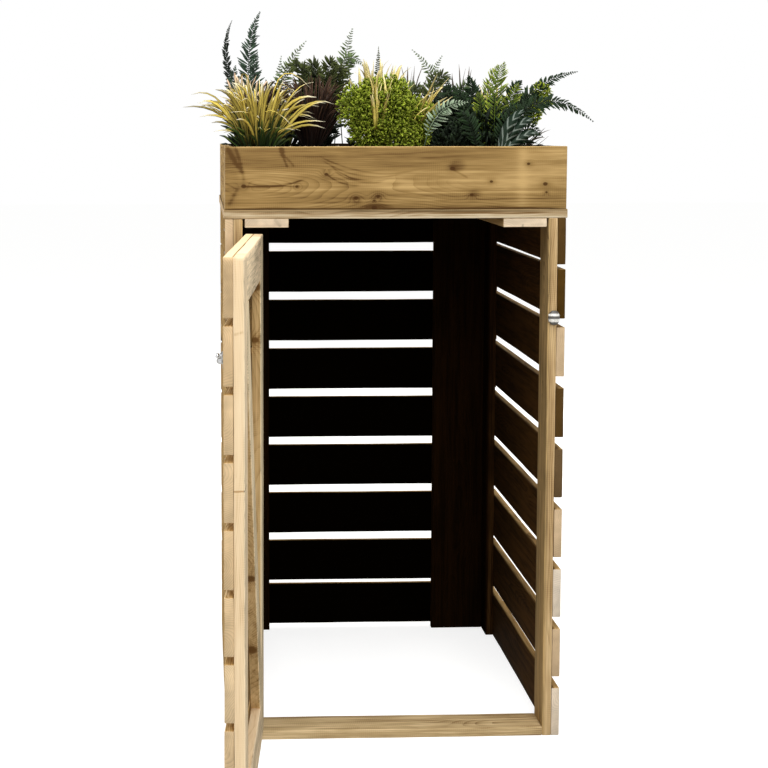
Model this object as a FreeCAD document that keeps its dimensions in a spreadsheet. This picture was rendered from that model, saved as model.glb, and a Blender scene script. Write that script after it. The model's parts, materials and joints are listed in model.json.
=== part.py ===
import FreeCAD, Part
import math
import os

import Sketcher

# A slatted timber store for one wheeled bin, with a planted trough on its roof and a ledged door.
# Millimetres. +X right, +Y to the back, +Z up. The origin is on the ground, in the middle of the
# front threshold's front edge. The door hangs on the left front post and is drawn open.

DRIVING_SIZES = {
    "store_width": 820,
    "store_depth": 950,
    "roof_underside": 1278,
    "board_thickness": 22,
    "board_width": 100,
    "slat_thickness": 20,
    "slat_height": 120,
    "side_pitch": 149,
    "second_gap": 21,
    "highest_gap": 11,
    "back_gap": 24.6,
    "back_clearance": 13,
    "right_batten_width": 150,
    "bearer_width": 105,
    "bearer_thickness": 21,
    "bearer_inset": 5,
    "roof_overhang": 3,
    "roof_board_width": 150,
    "planter_height": 150,
    "soil_depth": 138,
    "door_foot": 36,
    "door_head": 1243,
    "hinge_gap": 4,
    "latch_gap": 3,
    "door_angle": 95,
    "brace_width": 90,
    "nail_inset": 28,
    "nail_radius": 1.5,
    "nail_hole_radius": 1.6,
    "nail_length": 41,
    "nail_head_radius": 3.5,
    "nail_head_thickness": 1,
    "hinge_length": 90,
    "hinge_leaf_width": 44,
    "hinge_screw_line": 31,
    "hinge_leaf_thickness": 1.5,
    "hinge_reach": 5,
    "knuckle_radius": 4,
    "pin_radius": 2.5,
    "bore_clearance": 0.05,
    "knuckle_gap": 0.5,
    "lowest_hinge": 170,
    "hinge_spacing": 440,
    "screw_head_radius": 3.2,
    "screw_radius": 1.8,
    "screw_length": 18,
    "bolt_height": 1038,
    "bolt_radius": 4,
    "bolt_length": 96,
    "bolt_axis": 7,
    "bolt_setback": 3,
    "bolt_plate_length": 98,
    "bolt_plate_height": 32,
    "plate_thickness": 1.5,
    "guide_radius": 6.2,
    "guide_width": 12,
    "knob_radius": 5,
    "knob_reach": 10,
    "keep_width": 27,
    "keep_height": 35,
    "keep_bore": 4.8,
    "keep_radius": 6.7,
}

SIDE_SLATS = 9
BACK_SLATS = 9
DOOR_SLATS = 9
ROOF_BOARDS = 6
HINGES = 3
KNUCKLES = 5
GOLDEN_ANGLE = 137.508

doc = FreeCAD.newDocument("bin_store")
sheet = doc.addObject("Spreadsheet::Sheet", "Sizes")
for row, (alias, number) in enumerate(DRIVING_SIZES.items(), start=1):
    sheet.set(f"A{row}", alias)
    sheet.set(f"B{row}", str(number))
    sheet.setAlias(f"B{row}", alias)
doc.recompute()


class Size:
    """A number together with the spreadsheet formula that gives it."""

    def __init__(self, value, formula):
        self.value = float(value)
        self.formula = formula

    def _join(self, other, sign, value):
        return Size(value, f"({self.formula} {sign} {as_size(other).formula})")

    def __add__(self, other):
        return self._join(other, "+", self.value + as_size(other).value)

    def __sub__(self, other):
        return self._join(other, "-", self.value - as_size(other).value)

    def __mul__(self, other):
        return self._join(other, "*", self.value * as_size(other).value)

    def __truediv__(self, other):
        return self._join(other, "/", self.value / as_size(other).value)

    def __radd__(self, other):
        return as_size(other) + self

    def __rsub__(self, other):
        return as_size(other) - self

    def __rmul__(self, other):
        return as_size(other) * self

    def __neg__(self):
        return as_size(0) - self


def as_size(number):
    """A Size as it is, or a plain number as a Size."""
    return number if isinstance(number, Size) else Size(number, repr(number))


def root_of(number):
    """The square root of a Size."""
    return Size(math.sqrt(number.value), f"sqrt({number.formula})")


def cell(alias):
    """The Size that the spreadsheet holds under this alias."""
    return Size(sheet.get(alias), f"Sizes.{alias}")


ZERO = as_size(0)
WIDTH = cell("store_width")
DEPTH = cell("store_depth")
HEIGHT = cell("roof_underside")
BOARD = cell("board_thickness")
BROAD = cell("board_width")
SLAT = cell("slat_thickness")
SLAT_HEIGHT = cell("slat_height")
HALF_WIDTH = WIDTH / 2
POST_OUTSIDE = HALF_WIDTH - SLAT
POST_INSIDE = POST_OUTSIDE - BOARD
BACK_INSIDE = DEPTH - SLAT
NAIL_INSET = cell("nail_inset")

ANGLE = cell("door_angle")
COSINE = Size(math.cos(math.radians(ANGLE.value)), f"cos({ANGLE.formula} * 1 deg)")
SINE = Size(math.sin(math.radians(ANGLE.value)), f"sin({ANGLE.formula} * 1 deg)")
HINGE_X = cell("hinge_gap") / 2 - POST_INSIDE
HINGE_Y = -cell("hinge_reach")

nodes = []


def bind(thing, path, size):
    """Ties one property of a document object to a size's formula."""
    thing.setExpression(path, size.formula)


def place(thing, x=ZERO, y=ZERO, z=ZERO, on_door=False):
    """Puts a piece at x, y, z. A piece on the door is given where it lies with the door shut, and
    is then swung open about the hinge pins."""
    if on_door:
        swung_x = HINGE_X + (x - HINGE_X) * COSINE + (y - HINGE_Y) * SINE
        swung_y = HINGE_Y - (x - HINGE_X) * SINE + (y - HINGE_Y) * COSINE
        x, y = swung_x, swung_y
        upright = FreeCAD.Vector(0, 0, 1)
        thing.Placement = FreeCAD.Placement(FreeCAD.Vector(), FreeCAD.Rotation(upright, 0))
        bind(thing, "Placement.Rotation.Angle", -ANGLE)
    bind(thing, "Placement.Base.x", as_size(x))
    bind(thing, "Placement.Base.y", as_size(y))
    bind(thing, "Placement.Base.z", as_size(z))
    return thing


def keep_node(thing, label):
    """Names a finished sub-part and puts it on the list of those to write."""
    thing.Label = label
    nodes.append(thing)
    return thing


def box(name, length, width, height, x=ZERO, y=ZERO, z=ZERO, on_door=False):
    """A sawn board as a plain block, its lowest corner at x, y, z."""
    block = doc.addObject("Part::Box", name)
    bind(block, "Length", as_size(length))
    bind(block, "Width", as_size(width))
    bind(block, "Height", as_size(height))
    return place(block, x, y, z, on_door)


AXIS_TURNS = {
    "x": FreeCAD.Rotation(FreeCAD.Vector(0, 1, 0), 90),
    "y": FreeCAD.Rotation(FreeCAD.Vector(1, 0, 0), -90),
    "z": FreeCAD.Rotation(),
}


def cylinder(name, radius, length, along, x, y, z):
    """A round bar from x, y, z towards +X, +Y or +Z."""
    bar = doc.addObject("Part::Cylinder", name)
    bar.Placement = FreeCAD.Placement(FreeCAD.Vector(), AXIS_TURNS[along])
    bind(bar, "Radius", as_size(radius))
    bind(bar, "Height", as_size(length))
    return place(bar, x, y, z)


def fused(name, pieces):
    """Pieces welded into one solid."""
    joined = doc.addObject("Part::MultiFuse", name)
    joined.Shapes = pieces
    joined.Refine = True
    return joined


def cut(name, base, tool):
    """A piece with another's shape taken out of it."""
    left = doc.addObject("Part::Cut", name)
    left.Base = base
    left.Tool = tool
    return left


def group(name, pieces):
    """Like pieces kept as separate solids under one name."""
    together = doc.addObject("Part::Compound", name)
    together.Links = pieces
    return together


def origin_plane(body, role):
    """The body's own origin plane of that role."""
    return next(plane for plane in body.Origin.OriginFeatures if plane.Role == role)


def new_sketch(body, name, role):
    """An empty sketch on one of the body's own origin planes."""
    sketch = body.newObject("Sketcher::SketchObject", name)
    sketch.AttachmentSupport = (origin_plane(body, role), "")
    sketch.MapMode = "FlatFace"
    return sketch


def fix_point(sketch, geometry, point, across, up):
    """Dimensions one point of a sketch from its origin."""
    for kind, size in (("DistanceX", across), ("DistanceY", up)):
        number = sketch.addConstraint(
            Sketcher.Constraint(kind, -1, 1, geometry, point, size.value)
        )
        sketch.setExpression(f"Constraints[{number}]", size.formula)


def draw_outline(sketch, corners):
    """A closed outline of straight lines through corners, each dimensioned from the origin."""
    count = len(corners)
    points = [FreeCAD.Vector(across.value, up.value, 0) for across, up in corners]
    for index in range(count):
        sketch.addGeometry(Part.LineSegment(points[index], points[(index + 1) % count]))
    for index in range(count):
        follower = (index + 1) % count
        sketch.addConstraint(Sketcher.Constraint("Coincident", index, 2, follower, 1))
    for index, (across, up) in enumerate(corners):
        fix_point(sketch, index, 1, across, up)


def draw_circles(sketch, centres, radius):
    """Equal circles at centres, each dimensioned from the origin."""
    upright = FreeCAD.Vector(0, 0, 1)
    for across, up in centres:
        centre = FreeCAD.Vector(across.value, up.value, 0)
        index = sketch.addGeometry(Part.Circle(centre, upright, radius.value))
        fix_point(sketch, index, 3, across, up)
        number = sketch.addConstraint(Sketcher.Constraint("Radius", index, radius.value))
        sketch.setExpression(f"Constraints[{number}]", radius.formula)


def pad(body, sketch, length, backwards=False):
    """Pads a sketch along its plane's normal, or against it."""
    feature = body.newObject("PartDesign::Pad", f"{sketch.Name}_pad")
    feature.Profile = sketch
    feature.Reversed = backwards
    bind(feature, "Length", as_size(length))
    body.Tip = feature
    return feature


def rectangle(length, height):
    """The four corners of an upright board's face, from its lower near corner."""
    return [(ZERO, ZERO), (length, ZERO), (length, height), (ZERO, height)]


def drilled_board(name, role, outline, nails, thickness):
    """A board cut to an outline and pierced where nails pass. On YZ_Plane it thickens towards +X,
    on XZ_Plane towards +Y."""
    body = doc.addObject("PartDesign::Body", name)
    sketch = new_sketch(body, f"{name}_sketch", role)
    draw_outline(sketch, outline)
    draw_circles(sketch, nails, cell("nail_hole_radius"))
    pad(body, sketch, thickness, backwards=role == "XZ_Plane")
    return body


def nail_set(name, role, centres, heads_backwards):
    """Flat-headed nails through one wall: shanks on one side of the plane, heads on the other."""
    body = doc.addObject("PartDesign::Body", name)
    body.AllowCompound = True
    shanks = new_sketch(body, f"{name}_shanks", role)
    draw_circles(shanks, centres, cell("nail_radius"))
    pad(body, shanks, cell("nail_length"), backwards=not heads_backwards)
    heads = new_sketch(body, f"{name}_heads", role)
    draw_circles(heads, centres, cell("nail_head_radius"))
    pad(body, heads, cell("nail_head_thickness"), backwards=heads_backwards)
    return body


# Side walls. Nine rough slats run from front to back outside an upright board at each end. They
# are spaced up from the ground, the last two sit closer, and the highest is ripped to what is left.
NEAR_NAIL = BROAD / 2
FAR_NAIL = BACK_INSIDE - BROAD / 2
NEAR_TOP = (SIDE_SLATS - 3) * cell("side_pitch") + SLAT_HEIGHT + cell("second_gap")
TOP_BOTTOM = NEAR_TOP + SLAT_HEIGHT + cell("highest_gap")
side_courses = [(course * cell("side_pitch"), SLAT_HEIGHT) for course in range(SIDE_SLATS - 2)]
side_courses += [(NEAR_TOP, SLAT_HEIGHT), (TOP_BOTTOM, HEIGHT - TOP_BOTTOM)]


def nail_levels(courses):
    """The two nail heights in each course of a wall."""
    low = [bottom + NAIL_INSET for bottom, _ in courses]
    high = [bottom + height - NAIL_INSET for bottom, height in courses]
    return low + high


side_levels = nail_levels(side_courses)
side_nails = [(across, up) for up in side_levels for across in (NEAR_NAIL, FAR_NAIL)]
for side, wall_x in (("left", -HALF_WIDTH), ("right", POST_OUTSIDE)):
    for course, (bottom, height) in enumerate(side_courses, start=1):
        inset = [NAIL_INSET, height - NAIL_INSET]
        holes = [(across, up) for up in inset for across in (NEAR_NAIL, FAR_NAIL)]
        name = f"{side}_slat_{course}"
        outline = rectangle(BACK_INSIDE, height)
        slat = drilled_board(name, "YZ_Plane", outline, holes, SLAT)
        keep_node(place(slat, wall_x, ZERO, bottom), name)

# Upright boards inside the side walls: the front ones show a thin edge and carry the door, the
# rear ones stand in the back corners.
post_holes = [(NEAR_NAIL, up) for up in side_levels]
posts = {}
for side, post_x in (("left", -POST_OUTSIDE), ("right", POST_INSIDE)):
    for end, post_y in (("front", ZERO), ("rear", BACK_INSIDE - BROAD)):
        name = f"{end}_post_{side}"
        outline = rectangle(BROAD, HEIGHT)
        post = drilled_board(f"{name}_blank", "YZ_Plane", outline, post_holes, BOARD)
        posts[name] = place(post, post_x, post_y)
for side in ("left", "right"):
    keep_node(posts[f"rear_post_{side}"], f"rear_post_{side}")

# Back wall. Nine slats close the back over the ends of the side slats, nailed to two upright
# battens in the corners, of which the right one is a wider board. They hang down from the roof
# at an even gap, and the lowest one clears the ground.
BACK_PITCH = SLAT_HEIGHT + cell("back_gap")
back_courses = [(cell("back_clearance"), SLAT_HEIGHT)]
for course in reversed(range(BACK_SLATS - 1)):
    back_courses.append((HEIGHT - SLAT_HEIGHT - course * BACK_PITCH, SLAT_HEIGHT))
RIGHT_BATTEN = cell("right_batten_width")
battens = {"left": (-POST_INSIDE, BROAD), "right": (POST_INSIDE - RIGHT_BATTEN, RIGHT_BATTEN)}
back_across = [HALF_WIDTH + x + width / 2 for x, width in battens.values()]
back_slats = []
for course, (bottom, height) in enumerate(back_courses, start=1):
    inset = [NAIL_INSET, height - NAIL_INSET]
    holes = [(across, up) for up in inset for across in back_across]
    name = f"back_slat_{course}"
    slat = drilled_board(name, "XZ_Plane", rectangle(WIDTH, height), holes, SLAT)
    back_slats.append(place(slat, -HALF_WIDTH, BACK_INSIDE, bottom))
keep_node(group("back_wall", back_slats), "back_slats")

back_levels = nail_levels(back_courses)
for side, (batten_x, batten_width) in battens.items():
    name = f"back_batten_{side}"
    outline = rectangle(batten_width, HEIGHT)
    holes = [(batten_width / 2, up) for up in back_levels]
    batten = drilled_board(name, "XZ_Plane", outline, holes, BOARD)
    keep_node(place(batten, batten_x, BACK_INSIDE - BOARD), name)

# Threshold, laid flat on the ground between the front posts.
threshold = box("threshold", 2 * POST_INSIDE, BROAD, BOARD, -POST_INSIDE)
keep_node(threshold, "threshold")

# Roof: two bearers laid flat from front to back, and six boards across them.
BEARER_Z = HEIGHT - cell("bearer_thickness")
BEARER_LENGTH = BACK_INSIDE - BOARD
BEARER_OUT = POST_INSIDE - cell("bearer_inset")
bearers = []
for side, bearer_x in (("left", -BEARER_OUT), ("right", BEARER_OUT - cell("bearer_width"))):
    sizes = (cell("bearer_width"), BEARER_LENGTH, cell("bearer_thickness"))
    bearers.append(box(f"bearer_{side}", *sizes, bearer_x, ZERO, BEARER_Z))
keep_node(group("bearers", bearers), "roof_bearers")

ROOF_LENGTH = WIDTH + 2 * cell("roof_overhang")
ROOF_PITCH = (DEPTH - cell("roof_board_width")) / (ROOF_BOARDS - 1)
roof_boards = []
for course in range(ROOF_BOARDS):
    sizes = (ROOF_LENGTH, cell("roof_board_width"), BOARD)
    spot = (-ROOF_LENGTH / 2, course * ROOF_PITCH, HEIGHT)
    roof_boards.append(box(f"roof_board_{course + 1}", *sizes, *spot))
keep_node(group("roof", roof_boards), "roof_boards")

# Planter: four boards on edge round the roof, filled with soil almost to the brim.
ROOF_TOP = HEIGHT + BOARD
PLANTER = cell("planter_height")
PLANTER_INSIDE = DEPTH - 2 * BOARD
planter_boards = {
    "planter_front": (WIDTH, BOARD, -HALF_WIDTH, ZERO),
    "planter_back": (WIDTH, BOARD, -HALF_WIDTH, DEPTH - BOARD),
    "planter_left": (BOARD, PLANTER_INSIDE, -HALF_WIDTH, BOARD),
    "planter_right": (BOARD, PLANTER_INSIDE, HALF_WIDTH - BOARD, BOARD),
}
for name, (length, width, x, y) in planter_boards.items():
    keep_node(box(name, length, width, PLANTER, x, y, ROOF_TOP), name)
SOIL_DEPTH = cell("soil_depth")
soil_sizes = (WIDTH - 2 * BOARD, PLANTER_INSIDE, SOIL_DEPTH)
soil = box("soil", *soil_sizes, BOARD - HALF_WIDTH, BOARD, ROOF_TOP)
keep_node(soil, "planter_soil")

# Door: nine slats outside a frame of two stiles, two rails and a brace that rises from the hinge
# side's foot to the latch side's head. Its pieces are laid out shut and swung open together.
DOOR_LEFT = cell("hinge_gap") - POST_INSIDE
DOOR_RIGHT = POST_INSIDE - cell("latch_gap")
DOOR_WIDTH = DOOR_RIGHT - DOOR_LEFT
DOOR_FOOT = cell("door_foot")
DOOR_TALL = cell("door_head") - DOOR_FOOT
DOOR_PITCH = (DOOR_TALL - SLAT_HEIGHT) / (DOOR_SLATS - 1)
door_courses = [(course * DOOR_PITCH, SLAT_HEIGHT) for course in range(DOOR_SLATS)]
stile_across = (BROAD / 2, DOOR_WIDTH - BROAD / 2)
rail_across = (DOOR_WIDTH / 3, 2 * DOOR_WIDTH / 3)
RAIL_LEVELS = (BROAD / 2, DOOR_TALL - BROAD / 2)


def door_slat_nails(course):
    """Nails in one door slat, from its own corner: two in each stile, and one row in each rail."""
    inset = [NAIL_INSET, SLAT_HEIGHT - NAIL_INSET]
    nails = [(across, up) for up in inset for across in stile_across]
    if course == 0:
        nails += [(across, RAIL_LEVELS[0]) for across in rail_across]
    if course == DOOR_SLATS - 1:
        nails += [(across, SLAT_HEIGHT - BROAD / 2) for across in rail_across]
    return nails


door_slats = []
for course, (bottom, height) in enumerate(door_courses):
    name = f"door_slat_{course + 1}"
    outline = rectangle(DOOR_WIDTH, height)
    slat = drilled_board(name, "XZ_Plane", outline, door_slat_nails(course), SLAT)
    door_slats.append(place(slat, DOOR_LEFT, ZERO, DOOR_FOOT + bottom))

door_levels = nail_levels(door_courses)
stile_holes = [(BROAD / 2, up) for up in door_levels]
stiles = []
for side, stile_x in (("hinge", DOOR_LEFT), ("latch", DOOR_RIGHT - BROAD)):
    outline = rectangle(BROAD, DOOR_TALL)
    stile = drilled_board(f"{side}_stile", "XZ_Plane", outline, stile_holes, BOARD)
    stiles.append(place(stile, stile_x, SLAT, DOOR_FOOT))
hinge_stile, latch_stile = stiles

RAIL_LENGTH = DOOR_WIDTH - 2 * BROAD
rail_holes = [(across - BROAD, BROAD / 2) for across in rail_across]
for name, rail_z in (("door_rail_bottom", DOOR_FOOT), ("door_rail_top", cell("door_head") - BROAD)):
    rail = drilled_board(name, "XZ_Plane", rectangle(RAIL_LENGTH, BROAD), rail_holes, BOARD)
    keep_node(place(rail, DOOR_LEFT + BROAD, SLAT, rail_z, on_door=True), name)

BRACE_TALL = DOOR_TALL - 2 * BROAD
DIAGONAL = root_of(RAIL_LENGTH * RAIL_LENGTH + BRACE_TALL * BRACE_TALL)
CORNER_ACROSS = cell("brace_width") * DIAGONAL / (2 * BRACE_TALL)
CORNER_UP = cell("brace_width") * DIAGONAL / (2 * RAIL_LENGTH)
brace_outline = [
    (ZERO, ZERO),
    (CORNER_ACROSS, ZERO),
    (RAIL_LENGTH, BRACE_TALL - CORNER_UP),
    (RAIL_LENGTH, BRACE_TALL),
    (RAIL_LENGTH - CORNER_ACROSS, BRACE_TALL),
    (ZERO, CORNER_UP),
]
brace = drilled_board("brace", "XZ_Plane", brace_outline, [], BOARD)
place(brace, DOOR_LEFT + BROAD, SLAT, DOOR_FOOT + BROAD, on_door=True)
keep_node(brace, "door_brace")

# Butt hinges: three pairs of steel leaves on the post's inner face and the door's edge, with their
# knuckles just in front of both. The post's leaf has the end and middle knuckles.
HINGE_LENGTH = cell("hinge_length")
KNUCKLE = HINGE_LENGTH / KNUCKLES
KNUCKLE_RADIUS = cell("knuckle_radius")
PIN_RADIUS = cell("pin_radius")
BORE_RADIUS = PIN_RADIUS + cell("bore_clearance")
LEAF = cell("hinge_leaf_thickness")
LEAF_WIDTH = cell("hinge_leaf_width")
SCREW_HEAD = cell("screw_head_radius")
SCREW_RADIUS = cell("screw_radius")
SCREW_LENGTH = cell("screw_length")
HEAD_DEPTH = SCREW_HEAD - SCREW_RADIUS
SCREW_LINE = cell("hinge_screw_line")
SCREW_STEPS = (0.15, 0.5, 0.85)


def countersunk(name, along, sign, x, y, z):
    """A wood screw whose flat head is flush at x, y, z and whose shank runs along X or Y."""
    reach = SCREW_LENGTH - HEAD_DEPTH
    turn = AXIS_TURNS[along]
    if sign < 0:
        turn = FreeCAD.Rotation(FreeCAD.Vector(0, 0, 1), 180) * turn
    head = doc.addObject("Part::Cone", f"{name}_head")
    shank = doc.addObject("Part::Cylinder", f"{name}_shank")
    for piece in (head, shank):
        piece.Placement = FreeCAD.Placement(FreeCAD.Vector(), turn)
    bind(head, "Radius1", SCREW_HEAD)
    bind(head, "Radius2", SCREW_RADIUS)
    bind(head, "Height", HEAD_DEPTH)
    bind(shank, "Radius", SCREW_RADIUS)
    bind(shank, "Height", reach)
    place(head, x, y, z)
    if along == "x":
        place(shank, x + sign * HEAD_DEPTH, y, z)
    else:
        place(shank, x, y + sign * HEAD_DEPTH, z)
    return fused(name, [head, shank])


def hinge_leaf(name, foot, leaf_x, screw_face, sign, own):
    """One leaf with its own knuckles, cleared for the other leaf's, bored, and countersunk. Gives
    the leaf and its screws."""
    plate = box(f"{name}_plate", LEAF, LEAF_WIDTH, HINGE_LENGTH, leaf_x, HINGE_Y, foot)
    gap = cell("knuckle_gap")
    rolls = []
    notches = []
    for number in range(KNUCKLES):
        low = foot + number * KNUCKLE
        spot = (HINGE_X, HINGE_Y)
        if number in own:
            tall = KNUCKLE - gap
            start = low + gap / 2
            rolls.append(cylinder(f"{name}_roll{number}", KNUCKLE_RADIUS, tall, "z", *spot, start))
        else:
            wide = KNUCKLE_RADIUS + gap
            notches.append(cylinder(f"{name}_notch{number}", wide, KNUCKLE, "z", *spot, low))
    blank = cut(f"{name}_blank", plate, fused(f"{name}_notches", notches))
    rolled = fused(f"{name}_rolled", [blank] + rolls)
    bore = cylinder(f"{name}_bore", BORE_RADIUS, HINGE_LENGTH, "z", HINGE_X, HINGE_Y, foot)
    screws = []
    for index, step in enumerate(SCREW_STEPS):
        spot = (screw_face, SCREW_LINE, foot + HINGE_LENGTH * step)
        screws.append(countersunk(f"{name}_screw{index}", "x", sign, *spot))
    bored = cut(f"{name}_bored", rolled, bore)
    return cut(name, bored, group(f"{name}_set", screws)), screws


POST_LEAF_X = -POST_INSIDE
DOOR_LEAF_X = DOOR_LEFT - LEAF
post_leaves = []
door_leaves = []
post_screws = []
door_screws = []
pins = []
PIN_HEAD = LEAF
for number in range(HINGES):
    foot = cell("lowest_hinge") + number * cell("hinge_spacing")
    spot = (POST_LEAF_X, POST_LEAF_X + LEAF)
    leaf, screws = hinge_leaf(f"post_leaf_{number}", foot, *spot, -1, (0, 2, 4))
    post_leaves.append(leaf)
    post_screws += screws
    spot = (DOOR_LEAF_X, DOOR_LEAF_X)
    leaf, screws = hinge_leaf(f"door_leaf_{number}", foot, *spot, 1, (1, 3))
    door_leaves.append(leaf)
    door_screws += screws
    spot = (HINGE_X, HINGE_Y)
    rod = cylinder(f"pin_{number}", PIN_RADIUS, HINGE_LENGTH, "z", *spot, foot)
    top = foot + HINGE_LENGTH
    head = cylinder(f"pin_head_{number}", KNUCKLE_RADIUS, PIN_HEAD, "z", *spot, top)
    pins.append(fused(f"hinge_pin_{number}", [rod, head]))
keep_node(group("post_leaves", post_leaves), "hinge_post_leaves")
keep_node(group("pins", pins), "hinge_pins")
keep_node(place(group("door_leaves", door_leaves), on_door=True), "hinge_door_leaves")

# Sliding bolt on the door's second slat from the top, and its keep on the right post's front edge.
BOLT_Z = cell("bolt_height")
BOLT_Y = -cell("bolt_axis")
BOLT_RADIUS = cell("bolt_radius")
BOLT_TIP = DOOR_RIGHT - cell("bolt_setback")
BOLT_LENGTH = cell("bolt_length")
PLATE = cell("plate_thickness")
PLATE_LENGTH = cell("bolt_plate_length")
PLATE_HEIGHT = cell("bolt_plate_height")
PLATE_X = DOOR_RIGHT - 2 * cell("bolt_setback") - PLATE_LENGTH
PLATE_Z = BOLT_Z - PLATE_HEIGHT / 2
GUIDE_RADIUS = cell("guide_radius")
GUIDE_WIDTH = cell("guide_width")


def loop_over(name, radius, width, x):
    """A half-round strap over the bolt's line: a barrel with straight cheeks down to the face."""
    barrel = cylinder(f"{name}_barrel", radius, width, "x", x, BOLT_Y, BOLT_Z)
    cheeks = box(f"{name}_cheeks", width, -BOLT_Y, 2 * radius, x, BOLT_Y, BOLT_Z - radius)
    return [barrel, cheeks]


plate = box("bolt_plate", PLATE_LENGTH, PLATE, PLATE_HEIGHT, PLATE_X, -PLATE, PLATE_Z)
first_guide = loop_over("first_guide", GUIDE_RADIUS, GUIDE_WIDTH, PLATE_X)
last_guide_x = PLATE_X + PLATE_LENGTH - 2 * GUIDE_WIDTH
last_guide = loop_over("last_guide", GUIDE_RADIUS, 2 * GUIDE_WIDTH, last_guide_x)
guide_solid = fused("guide_solid", [plate] + first_guide + last_guide)
RUNNING_RADIUS = BOLT_RADIUS + cell("bore_clearance")
guide_bore_sizes = (RUNNING_RADIUS, PLATE_LENGTH, "x")
guide_bore = cylinder("guide_bore", *guide_bore_sizes, PLATE_X, BOLT_Y, BOLT_Z)
guide_bored = cut("guide_bored", guide_solid, guide_bore)
plate_screws = []
PLATE_SCREWS = (0.3, 0.62)
SCREW_RISE = PLATE_HEIGHT / 2 - GUIDE_RADIUS / 2 - SCREW_RADIUS
for index, rise in enumerate((-SCREW_RISE, SCREW_RISE)):
    for end, along_plate in enumerate(PLATE_SCREWS):
        spot = (PLATE_X + PLATE_LENGTH * along_plate, -PLATE, BOLT_Z + rise)
        plate_screws.append(countersunk(f"plate_screw_{index}{end}", "y", 1, *spot))
plate_screw_set = group("plate_screw_set", plate_screws)
bolt_guide = cut("bolt_guide_solid", guide_bored, plate_screw_set)
keep_node(place(bolt_guide, on_door=True), "bolt_guide")

KNOB_X = PLATE_X + GUIDE_WIDTH + cell("knob_radius") + GUIDE_WIDTH / 2
BOLT_BACK = BOLT_TIP - BOLT_LENGTH
bar = cylinder("bolt_bar", BOLT_RADIUS, BOLT_LENGTH, "x", BOLT_BACK, BOLT_Y, BOLT_Z)
STEM_RADIUS = cell("knob_radius") / 2
stem_y = BOLT_Y - cell("knob_reach")
stem = cylinder("knob_stem", STEM_RADIUS, cell("knob_reach"), "y", KNOB_X, stem_y, BOLT_Z)
knob = doc.addObject("Part::Sphere", "knob_ball")
bind(knob, "Radius", cell("knob_radius"))
place(knob, KNOB_X, stem_y, BOLT_Z)
bolt_rod = fused("bolt_rod_solid", [bar, stem, knob])
keep_node(place(bolt_rod, on_door=True), "bolt_rod")

KEEP_WIDTH = cell("keep_width")
KEEP_HEIGHT = cell("keep_height")
KEEP_X = POST_INSIDE + PLATE / 2
keep_z = BOLT_Z - KEEP_HEIGHT / 2
keep_plate = box("keep_plate", KEEP_WIDTH, PLATE, KEEP_HEIGHT, KEEP_X, -PLATE, keep_z)
keep_loop = loop_over("keep_loop", cell("keep_radius"), KEEP_WIDTH, KEEP_X)
keep_solid = fused("keep_solid", [keep_plate] + keep_loop)
KEEP_BORE = cell("keep_bore")
bore_round = cylinder("keep_round", KEEP_BORE, KEEP_WIDTH, "x", KEEP_X, BOLT_Y, BOLT_Z)
bore_throat_sizes = (KEEP_WIDTH, -BOLT_Y - PLATE, 2 * KEEP_BORE)
bore_throat = box("keep_throat", *bore_throat_sizes, KEEP_X, BOLT_Y, BOLT_Z - KEEP_BORE)
keep_open = cut("keep_open", keep_solid, fused("keep_way", [bore_round, bore_throat]))
keep_screws = []
keep_screw_x = POST_INSIDE + BOARD / 2
KEEP_SCREW_RISE = KEEP_HEIGHT / 2 - SCREW_HEAD - PLATE
for index, rise in enumerate((-KEEP_SCREW_RISE, KEEP_SCREW_RISE)):
    spot = (keep_screw_x, -PLATE, BOLT_Z + rise)
    keep_screws.append(countersunk(f"keep_screw_{index}", "y", 1, *spot))
keep_screw_set = group("keep_screw_set", keep_screws)
keep_node(cut("bolt_keep_solid", keep_open, keep_screw_set), "bolt_keep")

# The boards that take wood screws, with the screws' holes cut in them.
post_screw_set = group("post_screw_set", post_screws)
hinge_screw_set = group("hinge_screw_set", door_screws)
bored_left_post = cut("bored_left_post", posts["front_post_left"], post_screw_set)
keep_node(bored_left_post, "front_post_left")
bored_right_post = cut("bored_right_post", posts["front_post_right"], keep_screw_set)
keep_node(bored_right_post, "front_post_right")
BOLT_SLAT = 7
for course, slat in enumerate(door_slats):
    label = f"door_slat_{course + 1}"
    slat.Label = f"{label}_blank"
    if course == BOLT_SLAT:
        slat = cut(f"{label}_bored", slat, plate_screw_set)
    shut_wall = group(f"{label}_shut", [slat])
    keep_node(place(shut_wall, on_door=True), label)
bored_stile = cut("bored_stile", hinge_stile, hinge_screw_set)
keep_node(place(group("hinge_stile_shut", [bored_stile]), on_door=True), "door_stile_hinge")
keep_node(place(group("latch_stile_shut", [latch_stile]), on_door=True), "door_stile_latch")

# Nails and screws, as one group on the frame and one on the door.
left_nails = nail_set("left_nails", "YZ_Plane", side_nails, heads_backwards=True)
place(left_nails, -HALF_WIDTH)
right_nails = nail_set("right_nails", "YZ_Plane", side_nails, heads_backwards=False)
place(right_nails, HALF_WIDTH)
back_nail_spots = [(across, up) for up in back_levels for across in back_across]
back_nails = nail_set("back_nails", "XZ_Plane", back_nail_spots, heads_backwards=True)
place(back_nails, -HALF_WIDTH, DEPTH)
frame_set = [left_nails, right_nails, back_nails] + post_screws + keep_screws
keep_node(group("frame_set", frame_set), "frame_fixings")

door_nail_spots = [(across, up) for up in door_levels for across in stile_across]
door_nail_spots += [(across, up) for up in RAIL_LEVELS for across in rail_across]
door_nails = nail_set("door_nails", "XZ_Plane", door_nail_spots, heads_backwards=False)
place(door_nails, DOOR_LEFT, ZERO, DOOR_FOOT)
door_set = group("door_set", [door_nails] + door_screws + plate_screws)
keep_node(place(door_set, on_door=True), "door_fixings")

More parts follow.
